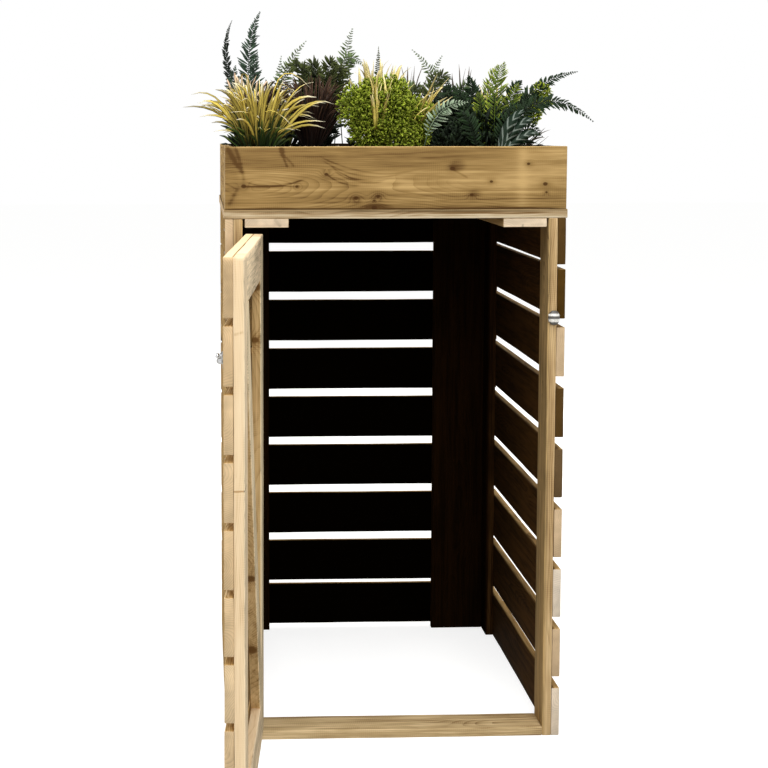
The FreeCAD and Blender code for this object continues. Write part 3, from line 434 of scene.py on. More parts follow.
def timber(name, pale, mid, dark, inner=None, ends=WEATHERED_ENDS, knots=(), lines=(), patches=(),
           wild=0.5, contrast=1.0, gloss=0.06, knot_brown=(70, 44, 20), inner_from=0.55, inner_shade_fade=0.75):
    """Softwood. One value, 0 pale to 1 dark, gathers the growth rings, fibres, streaks, knots, drawn
    lines and patches, and a ramp of three colours is read at it. Growth rings are the distance from
    a heart line that wanders along the board and swells round knots. Ends, worn arrises, the inner
    face and each board's own tone come from the marks. The inner face's own colour is painted light
    and shade, and inside the store it is painted darker towards the back as shade."""
    material, start = blank_material(name)
    place_along, place_across, place_through = start.mark("grain")
    end, worn, inwards = start.mark("face")
    tone, chance, _ = start.mark("lot")
    along = place_along + chance * LOT_ALONG
    across = place_across + (chance * LOT_ACROSS).maths("SINE") * 0.05
    grain = start.add("CombineXYZ", {0: along, 1: across, 2: place_through + HEART_DEPTH})
    drift, depth_drift, fine_drift, fibre, streak, wisp, cloud, blotch = (
        grain.stretched(lengthways, crossways, crossways).noise(scale, detail)
        for lengthways, crossways, scale, detail in NOISES.values())
    drift, depth_drift, fine_drift = drift - 0.5, depth_drift - 0.5, fine_drift - 0.5

    flat = start.add("CombineXYZ", {
        0: along * KNOT_CELLS_A_METRE, 1: place_across * KNOT_CELLS_A_METRE, 2: chance * LOT_KNOTS})
    cells = start.add("TexVoronoi", {"Vector": flat, "Scale": 1.0, "Randomness": 0.9},
                      {"voronoi_dimensions": "3D"})
    pick, size_pick, _ = Shade(start.tree, cells.socket.node.outputs["Color"]).split()
    kept = pick.rise(1 - wild, 1 - wild + 0.02)
    away = cells / KNOT_CELLS_A_METRE / (size_pick * KNOT_SPREAD + LEAST_KNOT)
    core = (1 - away.rise(0.75, 1.25)) * kept
    halo = away.hill(2.6) * kept
    where = start.place()
    for *middle, knot_radius in knots:
        reach = near(where, middle, (knot_radius * 1.35, knot_radius, knot_radius))
        core = core.maths("MAXIMUM", 1 - reach.rise(0.7, 1.3))
        halo = halo.maths("MAXIMUM", reach.hill(2.8))

    off_across = across + drift * 0.07
    off_through = place_through + HEART_DEPTH + depth_drift * 0.09
    radial = (off_across * off_across + off_through * off_through).maths("SQRT")
    radial = radial + fine_drift * 0.004 + halo * 0.009
    late = (radial / RING_PITCH).maths("FRACT") ** 3

    value = (late - 0.25) * cloud.rise(0.3, 0.62) * 0.55 + (streak - 0.5) * 1.5 + (wisp - 0.5) * 1.3
    value = value + (fibre - 0.5) * 0.75 + (cloud - 0.5) * 0.9 + (blotch - 0.5) * 0.8
    saw = ((along + drift * 0.02) * SAW_MARKS).maths("SINE")
    value = value + saw * (blotch.rise(0.4, 0.7) * 0.09)
    x, y, z = where.split()
    drawn = halo * 0.4
    for first, last, bow, width, darkness in lines:
        line = drawn_line(x, z, first, last, bow, width, fine_drift)
        drawn = drawn + line * (wisp * (1.6 * darkness))
    for middle, reach, darkness in patches:
        ragged = near(where, middle, reach) + blotch * 1.2 - 0.6
        drawn = drawn + (1 - ragged.rise(0.5, 1.5)) * darkness
    value = value * contrast + 0.45 + drawn - worn * 0.25

    colour = value.rise(-0.25, 0.6).blend(pale, mid)
    colour = value.rise(0.4, 1.25).blend(colour, dark)
    colour = (core * 0.9).blend(colour, knot_brown).scaled(tone * 0.5 + 0.75)
    # Painted light and shade: the inner face takes its own colour, darker where shade falls and paler where light
    # falls. Inside the store it is painted darker towards the back.
    if inner is not None:
        inner_light_and_shade = value.rise(0, 1).blend(inner, [0.6 * part for part in inner])
        inner_light_and_shade = (y.rise(*DEPTH_OF_PAINTED_SHADE) * inner_shade_fade).blend(inner_light_and_shade, DARKEST_PAINTED_SHADE)
        colour = inwards.rise(inner_from, 0.96).blend(colour, inner_light_and_shade)
    end_colour = tone.rise(0.0, 0.55).blend(ends[0], ends[1])
    end_colour = tone.rise(0.65, 1.0).blend(end_colour, ends[2])
    end_grain = late * 0.7 + (blotch - 0.5) * 1.4 + (fibre - 0.5) * 0.25 + drawn
    end_colour = end_colour.scaled(1.22 - end_grain.rise(-1.0, 1.0) * 0.5)
    colour = end.rise(0.3, 0.9).blend(colour, end_colour)

    height = fibre * 0.6 - late * 0.35 - core * 0.3
    bump = start.add("Bump", {"Strength": 0.55, "Distance": 0.0007, "Height": height})
    surfaced(start, colour, 0.7 + fibre * 0.2, Specular_IOR_Level=gloss, Normal=bump)
    return material


SLAT_SEED, RIGHT_SEED = 100, 120
slat_timber = timber("slat_timber", (200, 168, 114), (152, 122, 76), (86, 60, 30), (84, 57, 28),
                     contrast=0.85, gloss=0.01, inner_shade_fade=0.65)
LEFT_TONES = (0.5, 0.54, 0.48, 0.56, 0.5, 0.56, 0.48, 0.54, 0.5)
RIGHT_TONES = (0.86, 0.45, 0.9, 0.56, 0.12, 0.05, 0.56, 0.0, 0.05)
for side, inside, tones, seed in (("left", (1, 0, 0), LEFT_TONES, SLAT_SEED),
                                  ("right", (-1, 0, 0), RIGHT_TONES, RIGHT_SEED)):
    for course, tone in enumerate(tones, start=1):
        sawn(f"{side}_slat_{course}", slat_timber, inside, seed + course, (tone,))

# Corner boards. The front pair is a pale post each side of the doorway, set flat against the ends of
# the walls. The rear pair stands in the dark corners, and its timber is painted near-black as
# shade. All are planed less than the slats.
POST_SEED, BACK_SEED, BATTEN_SEED, THRESHOLD_SEED, BEARER_SEED, ROOF_SEED = 200, 220, 230, 240, 250, 260
post_timber = timber("post_timber", (224, 196, 150), (180, 150, 106), (110, 80, 44), (196, 164, 112),
                     wild=0.25, contrast=0.75)
rear_shaded_timber = timber("rear_shaded_timber", (84, 58, 32), (54, 35, 17), (26, 16, 8), (66, 42, 20),
                     wild=0.2, gloss=0.0)
for number, (node, inside, wood, tone) in enumerate((
    ("front_post_left", (1, 0, 0), post_timber, 0.1), ("front_post_right", (-1, 0, 0), post_timber, 0.5),
    ("rear_post_left", (1, 0, 0), rear_shaded_timber, 0.5), ("rear_post_right", (-1, 0, 0), rear_shaded_timber, 0.5),
)):
    sawn(node, wood, inside, POST_SEED + number, (tone,))

# Back wall. Nine slats nailed to two upright battens, seen from the front as a dark wall with bright
# gaps between the slats. The slats' inner faces and the battens are painted near-black as shade.
back_timber = timber("back_timber", (190, 158, 106), (146, 116, 72), (84, 60, 30), (8, 5, 2),
                     contrast=0.85, gloss=0.0)
sawn("back_slats", back_timber, (0, -1, 0), BACK_SEED, (0.5, 0.3, 0.7, 0.4, 0.6))
for number, node in enumerate(("back_batten_left", "back_batten_right")):
    sawn(node, rear_shaded_timber, (0, -1, 0), BATTEN_SEED + number)

# Threshold. A board laid flat on the ground between the front posts, low enough to wheel over.
threshold_timber = timber("threshold_timber", (226, 200, 156), (186, 160, 116), (126, 98, 62), wild=0.2)
sawn("threshold", threshold_timber, (0, 1, 0), THRESHOLD_SEED)

# Roof. Two bearers run from front to back under six boards laid across them with narrow gaps, which
# carry the planter and drain it. A line is first (x, z), last (x, z), bow, width and darkness; a
# patch is middle (x, y, z), reach each way and darkness. All are in millimetres.
BEARER_LINES = (
    ((-291, 1277), (-277, 1259), 0, 2.4, 3.0), ((305, 1255), (305, 1264), 0, 2.0, 3.0),
    # The two pale lines along the bearers' lower edge, at 1258.5, are painted highlights.
    ((-363, 1258.5), (-258, 1258.5), 0, 2.2, -1.2), ((258, 1258.5), (363, 1258.5), 0, 2.2, -1.2),
)
BEARER_PATCHES = (
    ((-348, 0, 1270), (16, 100, 12), 0.5), ((-330, 0, 1262), (40, 100, 8), -0.3),
    ((-284, 0, 1270), (9, 100, 9), 0.35), ((285, 0, 1272), (30, 100, 7), 0.45),
    ((340, 0, 1268), (26, 100, 8), -0.3), ((322, 0, 1273), (14, 100, 6), 0.3),
)
BEARER_END = (210, 190, 162)
bearer_timber = timber("bearer_timber", (196, 168, 122), (168, 138, 92), (112, 84, 50),
                       ends=(BEARER_END,) * 3, wild=0.3, lines=BEARER_LINES, patches=BEARER_PATCHES)
sawn("roof_bearers", bearer_timber, (0, 0, 1), BEARER_SEED)
ROOF_LINES = (
    # The pale lines along the top edge, at 1298.5, and along the bottom edge, at 1280, are painted highlights.
    ((-413, 1298.5), (413, 1298.5), 0, 1.2, -0.6), ((-413, 1293), (413, 1293), 0, 3.5, 0.5),
    ((-230, 1280), (413, 1280), 0, 2.2, -1.3), ((-413, 1287), (413, 1286), 0, 1.6, -0.4),
    ((-100, 1289), (413, 1291), 0, 1.3, 0.5),
)
roof_timber = timber("roof_timber", (206, 190, 160), (168, 144, 108), (116, 90, 56), (146, 122, 84),
                     wild=0.2, contrast=0.8, lines=ROOF_LINES)
sawn("roof_boards", roof_timber, (0, 0, 1), ROOF_SEED, (0.5, 0.4, 0.6))

# Planter. Four wide boards stand on edge round the roof, the front and back ones lapping the ends of
# the side ones. The front board is the store's most visible face and has its own knots, (across,
# down, radius) in millimetres from its top left corner, and its own lines and patches.
PLANTER_SEED = 270
BOARD_LEFT, BOARD_TOP = -410, 1450
THROUGH_BOARD = 100
PLANTER_KNOTS = (
    (45, 94, 4.5), (172, 95, 2.6), (242, 66, 3.4), (313, 123, 4), (366, 119, 3.6), (357, 129, 2.4),
    (357, 146, 5), (544, 53, 4.6), (638, 84, 3), (591, 116, 3.4), (727, 42, 3), (768, 90, 4.2),
    (771, 110, 2.2),
)
PLANTER_LINES = (
    ((4, 0), (44, 66), 0, 5, 0.6), ((24, 0), (46, 88), 4, 4, 0.45), ((134, 0), (139, 24), 0, 5, 0.8),
    ((138, 20), (150, 50), 0, 3, 0.5), ((138, 20), (166, 48), 2, 3, 0.35),
    ((46, 93), (190, 78), -8, 2.4, 0.7), ((52, 84), (188, 77), -14, 1.8, 0.5),
    ((46, 96), (172, 96), 3, 1.6, 0.5), ((32, 98), (8, 142), 0, 5, 0.4),
    ((0, 86), (28, 100), 0, 2, 0.3), ((0, 104), (24, 114), 0, 2, 0.25),
    ((242, 64), (322, 92), -9, 2, 0.6), ((252, 46), (390, 78), -16, 2, 0.5),
    ((262, 58), (378, 84), -12, 1.8, 0.5), ((286, 66), (356, 82), -7, 1.6, 0.4),
    ((236, 36), (420, 66), -18, 2, 0.45), ((230, 26), (460, 56), -20, 2, 0.4),
    ((546, 56), (582, 76), 0, 2.4, 0.4), ((440, 111), (820, 109), 0, 2, -0.4),
    ((60, 120), (400, 124), 0, 1.4, 0.4), ((120, 134), (560, 131), 0, 1.4, 0.4),
    ((200, 142), (700, 144), 0, 1.3, 0.35), ((500, 128), (820, 124), 0, 1.4, 0.4),
    # The dark line along the bottom edge is painted shade in the gap above the roof. The pale line along the top
    # rim is a painted highlight.
    ((714, 0), (712, 150), 0, 15, -0.3), ((0, 149), (820, 149), 0, 2.2, 2.2),
    ((0, 0.6), (820, 0.6), 0, 1.6, -0.9),
)
PLANTER_PATCHES = (
    ((300, 22), (330, 30), 0.28), ((14, 60), (20, 80), 0.2), ((375, 88), (60, 14), -0.4),
    ((357, 145), (34, 8), 0.45), ((556, 44), (18, 12), 0.3), ((600, 112), (16, 10), 0.25),
    ((700, 60), (200, 50), -0.1),
)


def on_board(across, down):
    """A place on the planter's front board, from millimetres off its top left corner."""
    return across + BOARD_LEFT, BOARD_TOP - down


def on_face(across, down):
    """The same place as a point on the front face."""
    along, up = on_board(across, down)
    return along, 0, up


front_knots = [(*on_face(across, down), radius) for across, down, radius in PLANTER_KNOTS]
front_lines = [(on_board(*first), on_board(*last), *others) for first, last, *others in PLANTER_LINES]
front_patches = [(on_face(*middle), (wide, THROUGH_BOARD, high), darkness)
                 for middle, (wide, high), darkness in PLANTER_PATCHES]
# Both timbers paint the boards' inner faces dark brown as shade inside the planter.
planter_front_timber = timber("planter_front_timber", (192, 160, 106), (146, 117, 70), (88, 62, 32),
                              (58, 42, 26), knots=front_knots, lines=front_lines, patches=front_patches,
                              wild=0.0, contrast=0.62)
planter_timber = timber("planter_timber", (200, 168, 112), (152, 122, 74), (88, 62, 32), (58, 42, 26),
                        wild=0.4, contrast=0.8)
for number, (side, wood, inside) in enumerate((
    ("front", planter_front_timber, (0, 1, 0)), ("back", planter_timber, (0, -1, 0)),
    ("left", planter_timber, (1, 0, 0)), ("right", planter_timber, (-1, 0, 0)),
)):
    sawn(f"planter_{side}", wood, inside, PLANTER_SEED + number)

# Soil. A shallow bed of dark compost, uneven on top, that fills the planter to a finger's width
# below the rim.
SOIL_DIP = 0.012
SOIL_COLUMNS, SOIL_ROWS = 96, 112
soil_paint, start = blank_material("soil_paint")
crumbs, dust = start.place().noise(60, 4.0), start.place().noise(420, 3.0)
soil_colour = (crumbs * 0.6 + dust * 0.4).rise(0.3, 0.7).blend((40, 30, 22), (92, 76, 58))
soil_relief = {"Strength": 1.0, "Distance": 0.003, "Height": crumbs + dust * 0.5}
surfaced(start, soil_colour, 0.95, Normal=start.add("Bump", soil_relief))
low, high = (np.array(corner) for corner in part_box("planter_soil"))
gx, gy = np.meshgrid(np.linspace(low[0], high[0], SOIL_COLUMNS), np.linspace(low[1], high[1], SOIL_ROWS))
waves = np.sin(gx * 31 + 1.2 * np.sin(gy * 23)) * np.cos(gy * 27 + 0.7) + 0.6 * np.sin(gx * 83 + gy * 71)
top = high[2] - SOIL_DIP * (0.5 + 0.3 * waves)
soil_points = np.concatenate([np.stack([gx, gy, level], -1).reshape(-1, 3)
                              for level in (top, np.full_like(gx, low[2]))])
index = np.arange(SOIL_ROWS * SOIL_COLUMNS).reshape(SOIL_ROWS, SOIL_COLUMNS)
quads = np.stack([index[:-1, :-1], index[:-1, 1:], index[1:, 1:], index[1:, :-1]], -1).reshape(-1, 4)
loop = np.concatenate([index[0], index[1:, -1], index[-1, -2::-1], index[-2:0:-1, 0]])
ahead = np.roll(loop, -1)
soil_faces = [quads, quads[:, ::-1] + index.size,
              np.stack([loop + index.size, ahead + index.size, ahead, loop], -1)]
new_piece("compost", soil_points, soil_faces, soil_paint, "store", {}, SLOT_OF["planter_soil"],
          "planter_soil")

# Gravel. Small rounded stones, white, cream and tan, spread over the soil round the plants' feet.
# Each is a ball of three rings between two poles, stretched and turned.
PEBBLES = 2200
PEBBLE_SEED = 77
PEBBLE_SIZE, PEBBLE_LIFT, SINK_BEHIND = (0.004, 0.009), 0.006, 0.008
BALL_SIDES, BALL_RINGS = 6, (-0.8, 0, 0.8)
OFF_WALL = 0.01
ball_turn = np.arange(BALL_SIDES) * 2 * math.pi / BALL_SIDES
ball_rings = [np.stack([np.cos(ball_turn) * math.cos(climb), np.sin(ball_turn) * math.cos(climb),
                        np.full(BALL_SIDES, math.sin(climb))], -1) for climb in BALL_RINGS]
ball = np.concatenate(ball_rings + [[(0, 0, -1), (0, 0, 1)]])
foot_pole, head_pole = np.full(BALL_SIDES, len(ball) - 2), np.full(BALL_SIDES, len(ball) - 1)
ball_sides, ball_ends = tubes(1, len(BALL_RINGS), BALL_SIDES)
foot_ring, head_ring = ball_ends[0, ::-1], ball_ends[1]
ball_faces = [ball_sides, np.stack([foot_pole, np.roll(foot_ring, -1), foot_ring], -1),
              np.stack([head_pole, head_ring, np.roll(head_ring, -1)], -1)]
gravel_paint, start = blank_material("gravel_paint")
tan, grey, _ = start.mark("lot")
speck = start.place().noise(500, 2.0)
stone = tan.rise(0.0, 0.9).blend((216, 198, 170), (146, 114, 78))
stone = grey.rise(0.7, 0.95).blend(stone, (96, 84, 70))
stone = (speck.rise(0.45, 0.75) * 0.5).blend(stone, (110, 90, 64))
surfaced(start, stone, 0.7 + speck * 0.2, Specular_IOR_Level=0.2)
scatter = np.random.default_rng(PEBBLE_SEED)
stone_size = scatter.uniform(*PEBBLE_SIZE, PEBBLES)
backwards = scatter.uniform(0, 1, PEBBLES) ** 1.6
stone_place = np.stack([scatter.uniform(low[0] + OFF_WALL, high[0] - OFF_WALL, PEBBLES),
                        low[1] + OFF_WALL + (high[1] - low[1] - 2 * OFF_WALL) * backwards,
                        high[2] + 0.001 - SINK_BEHIND * backwards
                        + scatter.uniform(0, PEBBLE_LIFT, PEBBLES)], -1)
stone_turn = scatter.uniform(0, 2 * math.pi, PEBBLES)
cosine, sine = np.cos(stone_turn)[:, None], np.sin(stone_turn)[:, None]
stretch = stone_size[:, None] * np.stack([np.ones(PEBBLES), scatter.uniform(0.6, 1, PEBBLES),
                                          scatter.uniform(0.5, 0.8, PEBBLES)], -1)
wide, deep, tall = np.moveaxis(ball[None] * stretch[:, None], -1, 0)
stones = np.stack([wide * cosine - deep * sine, wide * sine + deep * cosine, tall], -1)
stones += stone_place[:, None]
first_corner = (np.arange(PEBBLES) * len(ball))[:, None, None]
stone_faces = [(rows[None] + first_corner).reshape(-1, rows.shape[1]) for rows in ball_faces]
stone_lots = np.repeat(scatter.uniform(0, 1, (PEBBLES, 1, 3)), len(ball), 1)
new_piece("gravel", stones.reshape(-1, 3), stone_faces, gravel_paint, "store",
          {"lot": stone_lots.reshape(-1, 3)}, SLOT_OF["planter_soil"])

# Door. Nine slats on a frame of two stiles, two rails and a brace. It stands open, so that its latch
# edge faces the front: the slats' pale end grain on the left, the stile's edge beside it. Light and
# shade are painted on it. The hinge stile and the brace, which the light only grazes, have painted
# shade and are a shade darker. The frame's inner faces are painted pale where light falls on them,
# and the slats' inner faces, set back in the frame, are painted darker as shade.
DOOR_SEED, FRAME_SEED, BRACE_SEED = 300, 320, 330
# A painted highlight: the door's top is painted paler, where light from above falls on it.
DOOR_TOP_HIGHLIGHT = ((-400, -380, 1250), (600, 600, 12), -1.2)
PLAIN_INSIDE = 0.88
door_slat_timber = timber("door_slat_timber", (244, 218, 172), (172, 138, 86), (100, 70, 34),
                          (146, 114, 66), ((176, 142, 100), (208, 178, 136), (220, 194, 154)),
                          patches=(DOOR_TOP_HIGHLIGHT,), knots=((-417, -735, 1200, 7),), contrast=0.8,
                          inner_from=PLAIN_INSIDE)
DOOR_TONES = (0.75, 0.8, 0.9, 0.8, 0.75, 0.8, 0.8, 0.7, 0.6)
for course, tone in enumerate(DOOR_TONES, start=1):
    sawn(f"door_slat_{course}", door_slat_timber, (0, 1, 0), DOOR_SEED + course, (tone,))
FRAME_ENDS = ((200, 170, 128), (232, 204, 164), (242, 218, 182))
FRAME_LINES = (
    ((-412, 779), (-378, 780), 0, 1.3, 2.0), ((-404, 1090), (-384, 1096), 0, 3, 0.5),
)
SHADED_KNOTS = (
    (-340, -108, 1125, 9), (-342, -108, 1001, 7), (-360, -350, 498, 9), (-356, -245, 306, 12),
)
door_frame_timber = timber("door_frame_timber", (244, 222, 186), (232, 205, 165), (190, 152, 106),
                           (250, 226, 188), FRAME_ENDS, patches=(DOOR_TOP_HIGHLIGHT,), lines=FRAME_LINES,
                           wild=0.1, contrast=0.6, gloss=0.0, inner_from=PLAIN_INSIDE)
shaded_timber = timber("shaded_timber", (218, 188, 140), (194, 162, 112), (134, 102, 60),
                       (250, 228, 188), FRAME_ENDS, knots=SHADED_KNOTS, wild=0.1, contrast=0.8, gloss=0.0,
                       inner_from=PLAIN_INSIDE, knot_brown=(104, 72, 38))
for number, (node, wood) in enumerate((
    ("door_stile_hinge", shaded_timber), ("door_stile_latch", door_frame_timber),
    ("door_rail_top", door_frame_timber), ("door_rail_bottom", door_frame_timber),
)):
    sawn(node, wood, (0, 1, 0), FRAME_SEED + number)

# Brace. A strip cut to fit between the stiles and rails, from the hinge side's foot to the latch
# side's head, so that the panel's corners clip its own.
BRACE_WIDTH = 0.090
brace_low, brace_high = boards_in("door_brace")[0]
run, _, climb = brace_high - brace_low
slant = math.hypot(run, climb)


def brace_limits(places):
    """The lowest and highest part of the strip at each place up the panel, measured across it."""
    middle = (places / climb - 0.5) * run
    half = BRACE_WIDTH / 2 * slant / climb
    return np.maximum(middle - half, -run / 2), np.minimum(middle + half, run / 2)


sawn("door_brace", shaded_timber, (0, 1, 0), BRACE_SEED, limits=brace_limits)

# Ironwork. Zinc-plated butt hinges with their pins, a round steel bolt in its guide on the door, and
# screws and nails. Their shapes stay as the frame has them, and they only take a metal.
zinc, start = blank_material("zinc_plate")
spangle = start.place().noise(240, 2.0)
zinc_colour = spangle.rise(0.35, 0.7).blend((128, 126, 120), (176, 174, 168))
surfaced(start, zinc_colour, 0.28 + spangle * 0.2, Metallic=0.9)
steel, start = blank_material("bright_steel")
brushed = start.place().stretched(400, 30, 400).noise(1.0, 2.0)
steel_colour = brushed.rise(0.3, 0.7).blend((160, 160, 160), (205, 205, 205))
surfaced(start, steel_colour, 0.22 + brushed * 0.2, Metallic=1.0)
for node, metal in {"hinge_post_leaves": zinc, "hinge_door_leaves": zinc, "hinge_pins": steel,
                    "bolt_guide": zinc, "bolt_rod": steel, "frame_fixings": steel,
                    "door_fixings": steel}.items():
    frame["nodes"][node].data.materials.clear()
    frame["nodes"][node].data.materials.append(metal)

# Bolt keep. A small rounded zinc casting on the right post, drawn as rings round the bolt's line:
# from the closed end of its bore out to the mouth, and back over a swelling outside with two beads.
# Dark bands at (height, half width) in millimetres are painted shade and reflection, not dirt: a painted dark
# reflection along the middle and painted shade over the top and bottom.
KEEP_DARK_BANDS = ((1019, 9), (1039, 3.5), (1057, 9))
keep_metal, start = blank_material("keep_metal")
spangle = start.place().noise(240, 2.0)
level = start.place().split()[2] * 1000 + spangle * 2 - 1
shade_and_reflection = sum(1 - (level - middle).maths("ABSOLUTE").rise(half - 1.5, half + 1.5)
           for middle, half in KEEP_DARK_BANDS)
keep_colour = spangle.rise(0.35, 0.7).blend((200, 198, 190), (232, 230, 224))
keep_colour = (shade_and_reflection * 0.92).blend(keep_colour, (46, 42, 36))
surfaced(start, keep_colour, 0.38 + spangle * 0.1, Metallic=0.35)
KEEP_RINGS, KEEP_SIDES = 28, 40
BOLT_HOLE = 0.0048
BORE_PLACES = (0.7, -0.96)
MOUTH_SHARE = 0.62
keep_low, keep_high = (np.array(corner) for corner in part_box("bolt_keep"))
keep_middle, keep_half = (keep_low + keep_high) / 2, (keep_high - keep_low) / 2
outside = np.linspace(-1, 1, KEEP_RINGS)
swell = (1 - np.abs(outside) ** 2.6 * 0.98) ** 0.5
swell[0] = MOUTH_SHARE
ring_x = np.concatenate([BORE_PLACES, outside])[:, None]
ring_y, ring_z = (np.concatenate([[BOLT_HOLE] * len(BORE_PLACES), swell * half])[:, None]
                  for half in keep_half[1:])
keep_turn = np.arange(KEEP_SIDES) * 2 * math.pi / KEEP_SIDES
bead = 1 - 0.1 * np.cos(np.sin(keep_turn) * 3 * math.pi) ** 2
bead = np.where(np.arange(len(ring_x))[:, None] >= len(BORE_PLACES), bead, 1)
keep_points = np.stack([
    np.repeat(keep_middle[0] + ring_x * keep_half[0], KEEP_SIDES, 1),
    keep_middle[1] + ring_y * bead * np.cos(keep_turn),
    keep_middle[2] + ring_z * np.sin(keep_turn),
], -1)
keep_walls, keep_ends = tubes(1, len(ring_x), KEEP_SIDES)
keep = new_piece("keep_casting", keep_points.reshape(-1, 3), [keep_walls, keep_ends[:, ::-1]], keep_metal,
                 "store", {}, SLOT_OF["bolt_keep"], "bolt_keep")
keep.data.polygons.foreach_set("use_smooth", [True] * len(keep.data.polygons))

# Fern fronds. Moulded plastic foliage: a thin stalk bends over from the ground, and flat leaflets
# stand in pairs along it, longest a third of the way up.
LEAF_SEED = 41
LEAF_THICKNESS = 0.0006
STALK_WIDTH = 0.0028
TOWARDS_US, MOSTLY_FRONT = (0, -0.8, 0.6), (0, -0.9, 0.5)
ROOT = 1426
growth = np.random.default_rng(LEAF_SEED)


def curve(foot, knee, tip, shares):
    """Quadratic curve from foot to tip, drawn towards the knee, at each share of the way."""
    s = shares[:, None]
    return (1 - s) ** 2 * foot[:, None] + 2 * s * (1 - s) * knee[:, None] + s**2 * tip[:, None]


def unit(vectors):
    """Vectors drawn out to length one."""
    return vectors / np.maximum(np.linalg.norm(vectors, axis=-1, keepdims=True), 1e-9)


def leaves(foot, knee, tip, face, width, shape, stations=4, fold=0.25):
    """Thin closed leaves. Each follows its own curve, is as wide at each station as width times
    shape, and has its two edges lifted by fold. Gives points, faces and, for each point, its share
    of the length, its side and its leaf's chance."""
    shares = np.linspace(0, 1, stations)
    middle = curve(foot, knee, tip, shares)
    ahead = unit(np.gradient(middle, axis=1))
    side = unit(np.cross(ahead, face[:, None]))
    normal = np.cross(side, ahead)
    half = (width[:, None] * shape(shares)[None] / 2)[..., None]
    skin = LEAF_THICKNESS / 2
    rim = normal * half * fold
    points = np.stack([middle - side * half + rim, middle - normal * skin,
                       middle + side * half + rim, middle + normal * skin], 2)
    marks = np.zeros(points.shape)
    marks[..., 0] = shares[None, :, None]
    marks[..., 1] = np.array([-1, 0, 1, 0])
    marks[..., 2] = growth.uniform(0, 1, len(foot))[:, None, None]
    return points.reshape(-1, 3), tubes(*points.shape[:3]), [marks.reshape(-1, 3)]


def lens(shares):
    """Pointed at both ends and full in the middle."""
    return 0.12 + 0.88 * np.sin(math.pi * np.clip(shares, 0.03, 0.985)) ** 0.8


def blade(shares):
    """Nearly even, then drawn to a point."""
    return 0.08 + 0.92 * np.clip((0.55 + 0.8 * shares) * (1 - shares**3), 0, 1)


def frond(foot, knee, tip, reach, rise, leaflet, pitch, bare):
    """One frond: its stalk, and a pair of leaflets every pitch that lean forward by rise degrees.
    They reach out to each side as reach times sin(pi * grown^0.7), where grown is the share of the
    leafy part."""
    ends = [np.array([part], float) for part in ((*foot, ROOT), knee, tip)]
    path = curve(*ends, np.linspace(0, 1, 30))[0]
    pairs = int(np.linalg.norm(np.diff(path, axis=0), axis=1).sum() / pitch)
    foot, knee, tip = (end / 1000 for end in ends)
    face = np.array([TOWARDS_US])
    stalk = leaves(foot, knee, tip, face, np.array([STALK_WIDTH]), lambda share: 1 - 0.75 * share, 16)
    stalk[2][0][:, 1] = 0
    shares = np.linspace(bare, 0.99, pairs)
    middle = curve(foot, knee, tip, shares)[0]
    ahead = unit(np.gradient(middle, axis=0))
    side = unit(np.cross(ahead, face))
    grown = (shares - bare) / (1 - bare)
    swell = 0.08 + 0.95 * np.sin(math.pi * np.clip(grown + 0.02, 0, 1) ** 0.7)
    length = reach / 1000 / math.cos(math.radians(rise)) * swell
    width = leaflet / 1000 * (0.45 + 0.55 * swell)
    parts = [stalk]
    for sign in (-1, 1):
        lean = np.radians(rise + growth.normal(0, 8, pairs))[:, None]
        way = side * sign * np.cos(lean) + ahead * np.sin(lean)
        long = (length * growth.uniform(0.72, 1.08, pairs))[:, None]
        far = middle + way * long - face * long * growth.uniform(0, 0.35, (pairs, 1))
        bend = (middle + far) / 2 - ahead * long * 0.1 + face * long * 0.12
        parts.append(leaves(middle, bend, far, face + side * sign * 0.2, width, lens, 5))
    return parts


def fronds(rows, rise=40, leaflet=4.6, pitch=7.5, bare=0.12):
    """Fronds from rows of foot (x, y), knee (x, y, z), tip (x, y, z) and reach to each side. The
    leaflet's width and the pitch are in millimetres too."""
    return [part for row in rows for part in frond(*row, rise, leaflet, pitch, bare)]


def leaf_paint(name, foot, middle, tip, edge, edge_share=0.72, tip_from=0.55):
    """Plastic leaf: coloured from foot to tip, with another colour along its edges."""
    material, start = blank_material(name)
    along, across, chance = start.mark("leaf")
    mottle = start.place().noise(90, 2.0)
    colour = along.rise(0.05, 0.4).blend(foot, middle)
    colour = along.rise(tip_from, 1.0).blend(colour, tip)
    rim = across.maths("ABSOLUTE").rise(edge_share, 1.0)
    colour = (rim * (mottle.rise(0.3, 0.6) * 0.6 + 0.4)).blend(colour, edge)
    # Each leaf takes its own brightness from its chance. This is random tone, and also painted shade: some leaves
    # are darkened as if in shadow.
    colour = colour.scaled(chance * 0.85 + mottle * 0.5 + 0.28)
    surfaced(start, colour, mottle * 0.15 + 0.5, Specular_IOR_Level=0.15)
    return material


def foliage(name, paint, parts, *nodes):
    """A plant's leaves as one piece, in place of a node where one is named."""
    points, faces, marks = joined(parts)
    new_piece(name, points, faces, paint, "store", {"leaf": marks[0]}, "foliage", *nodes)


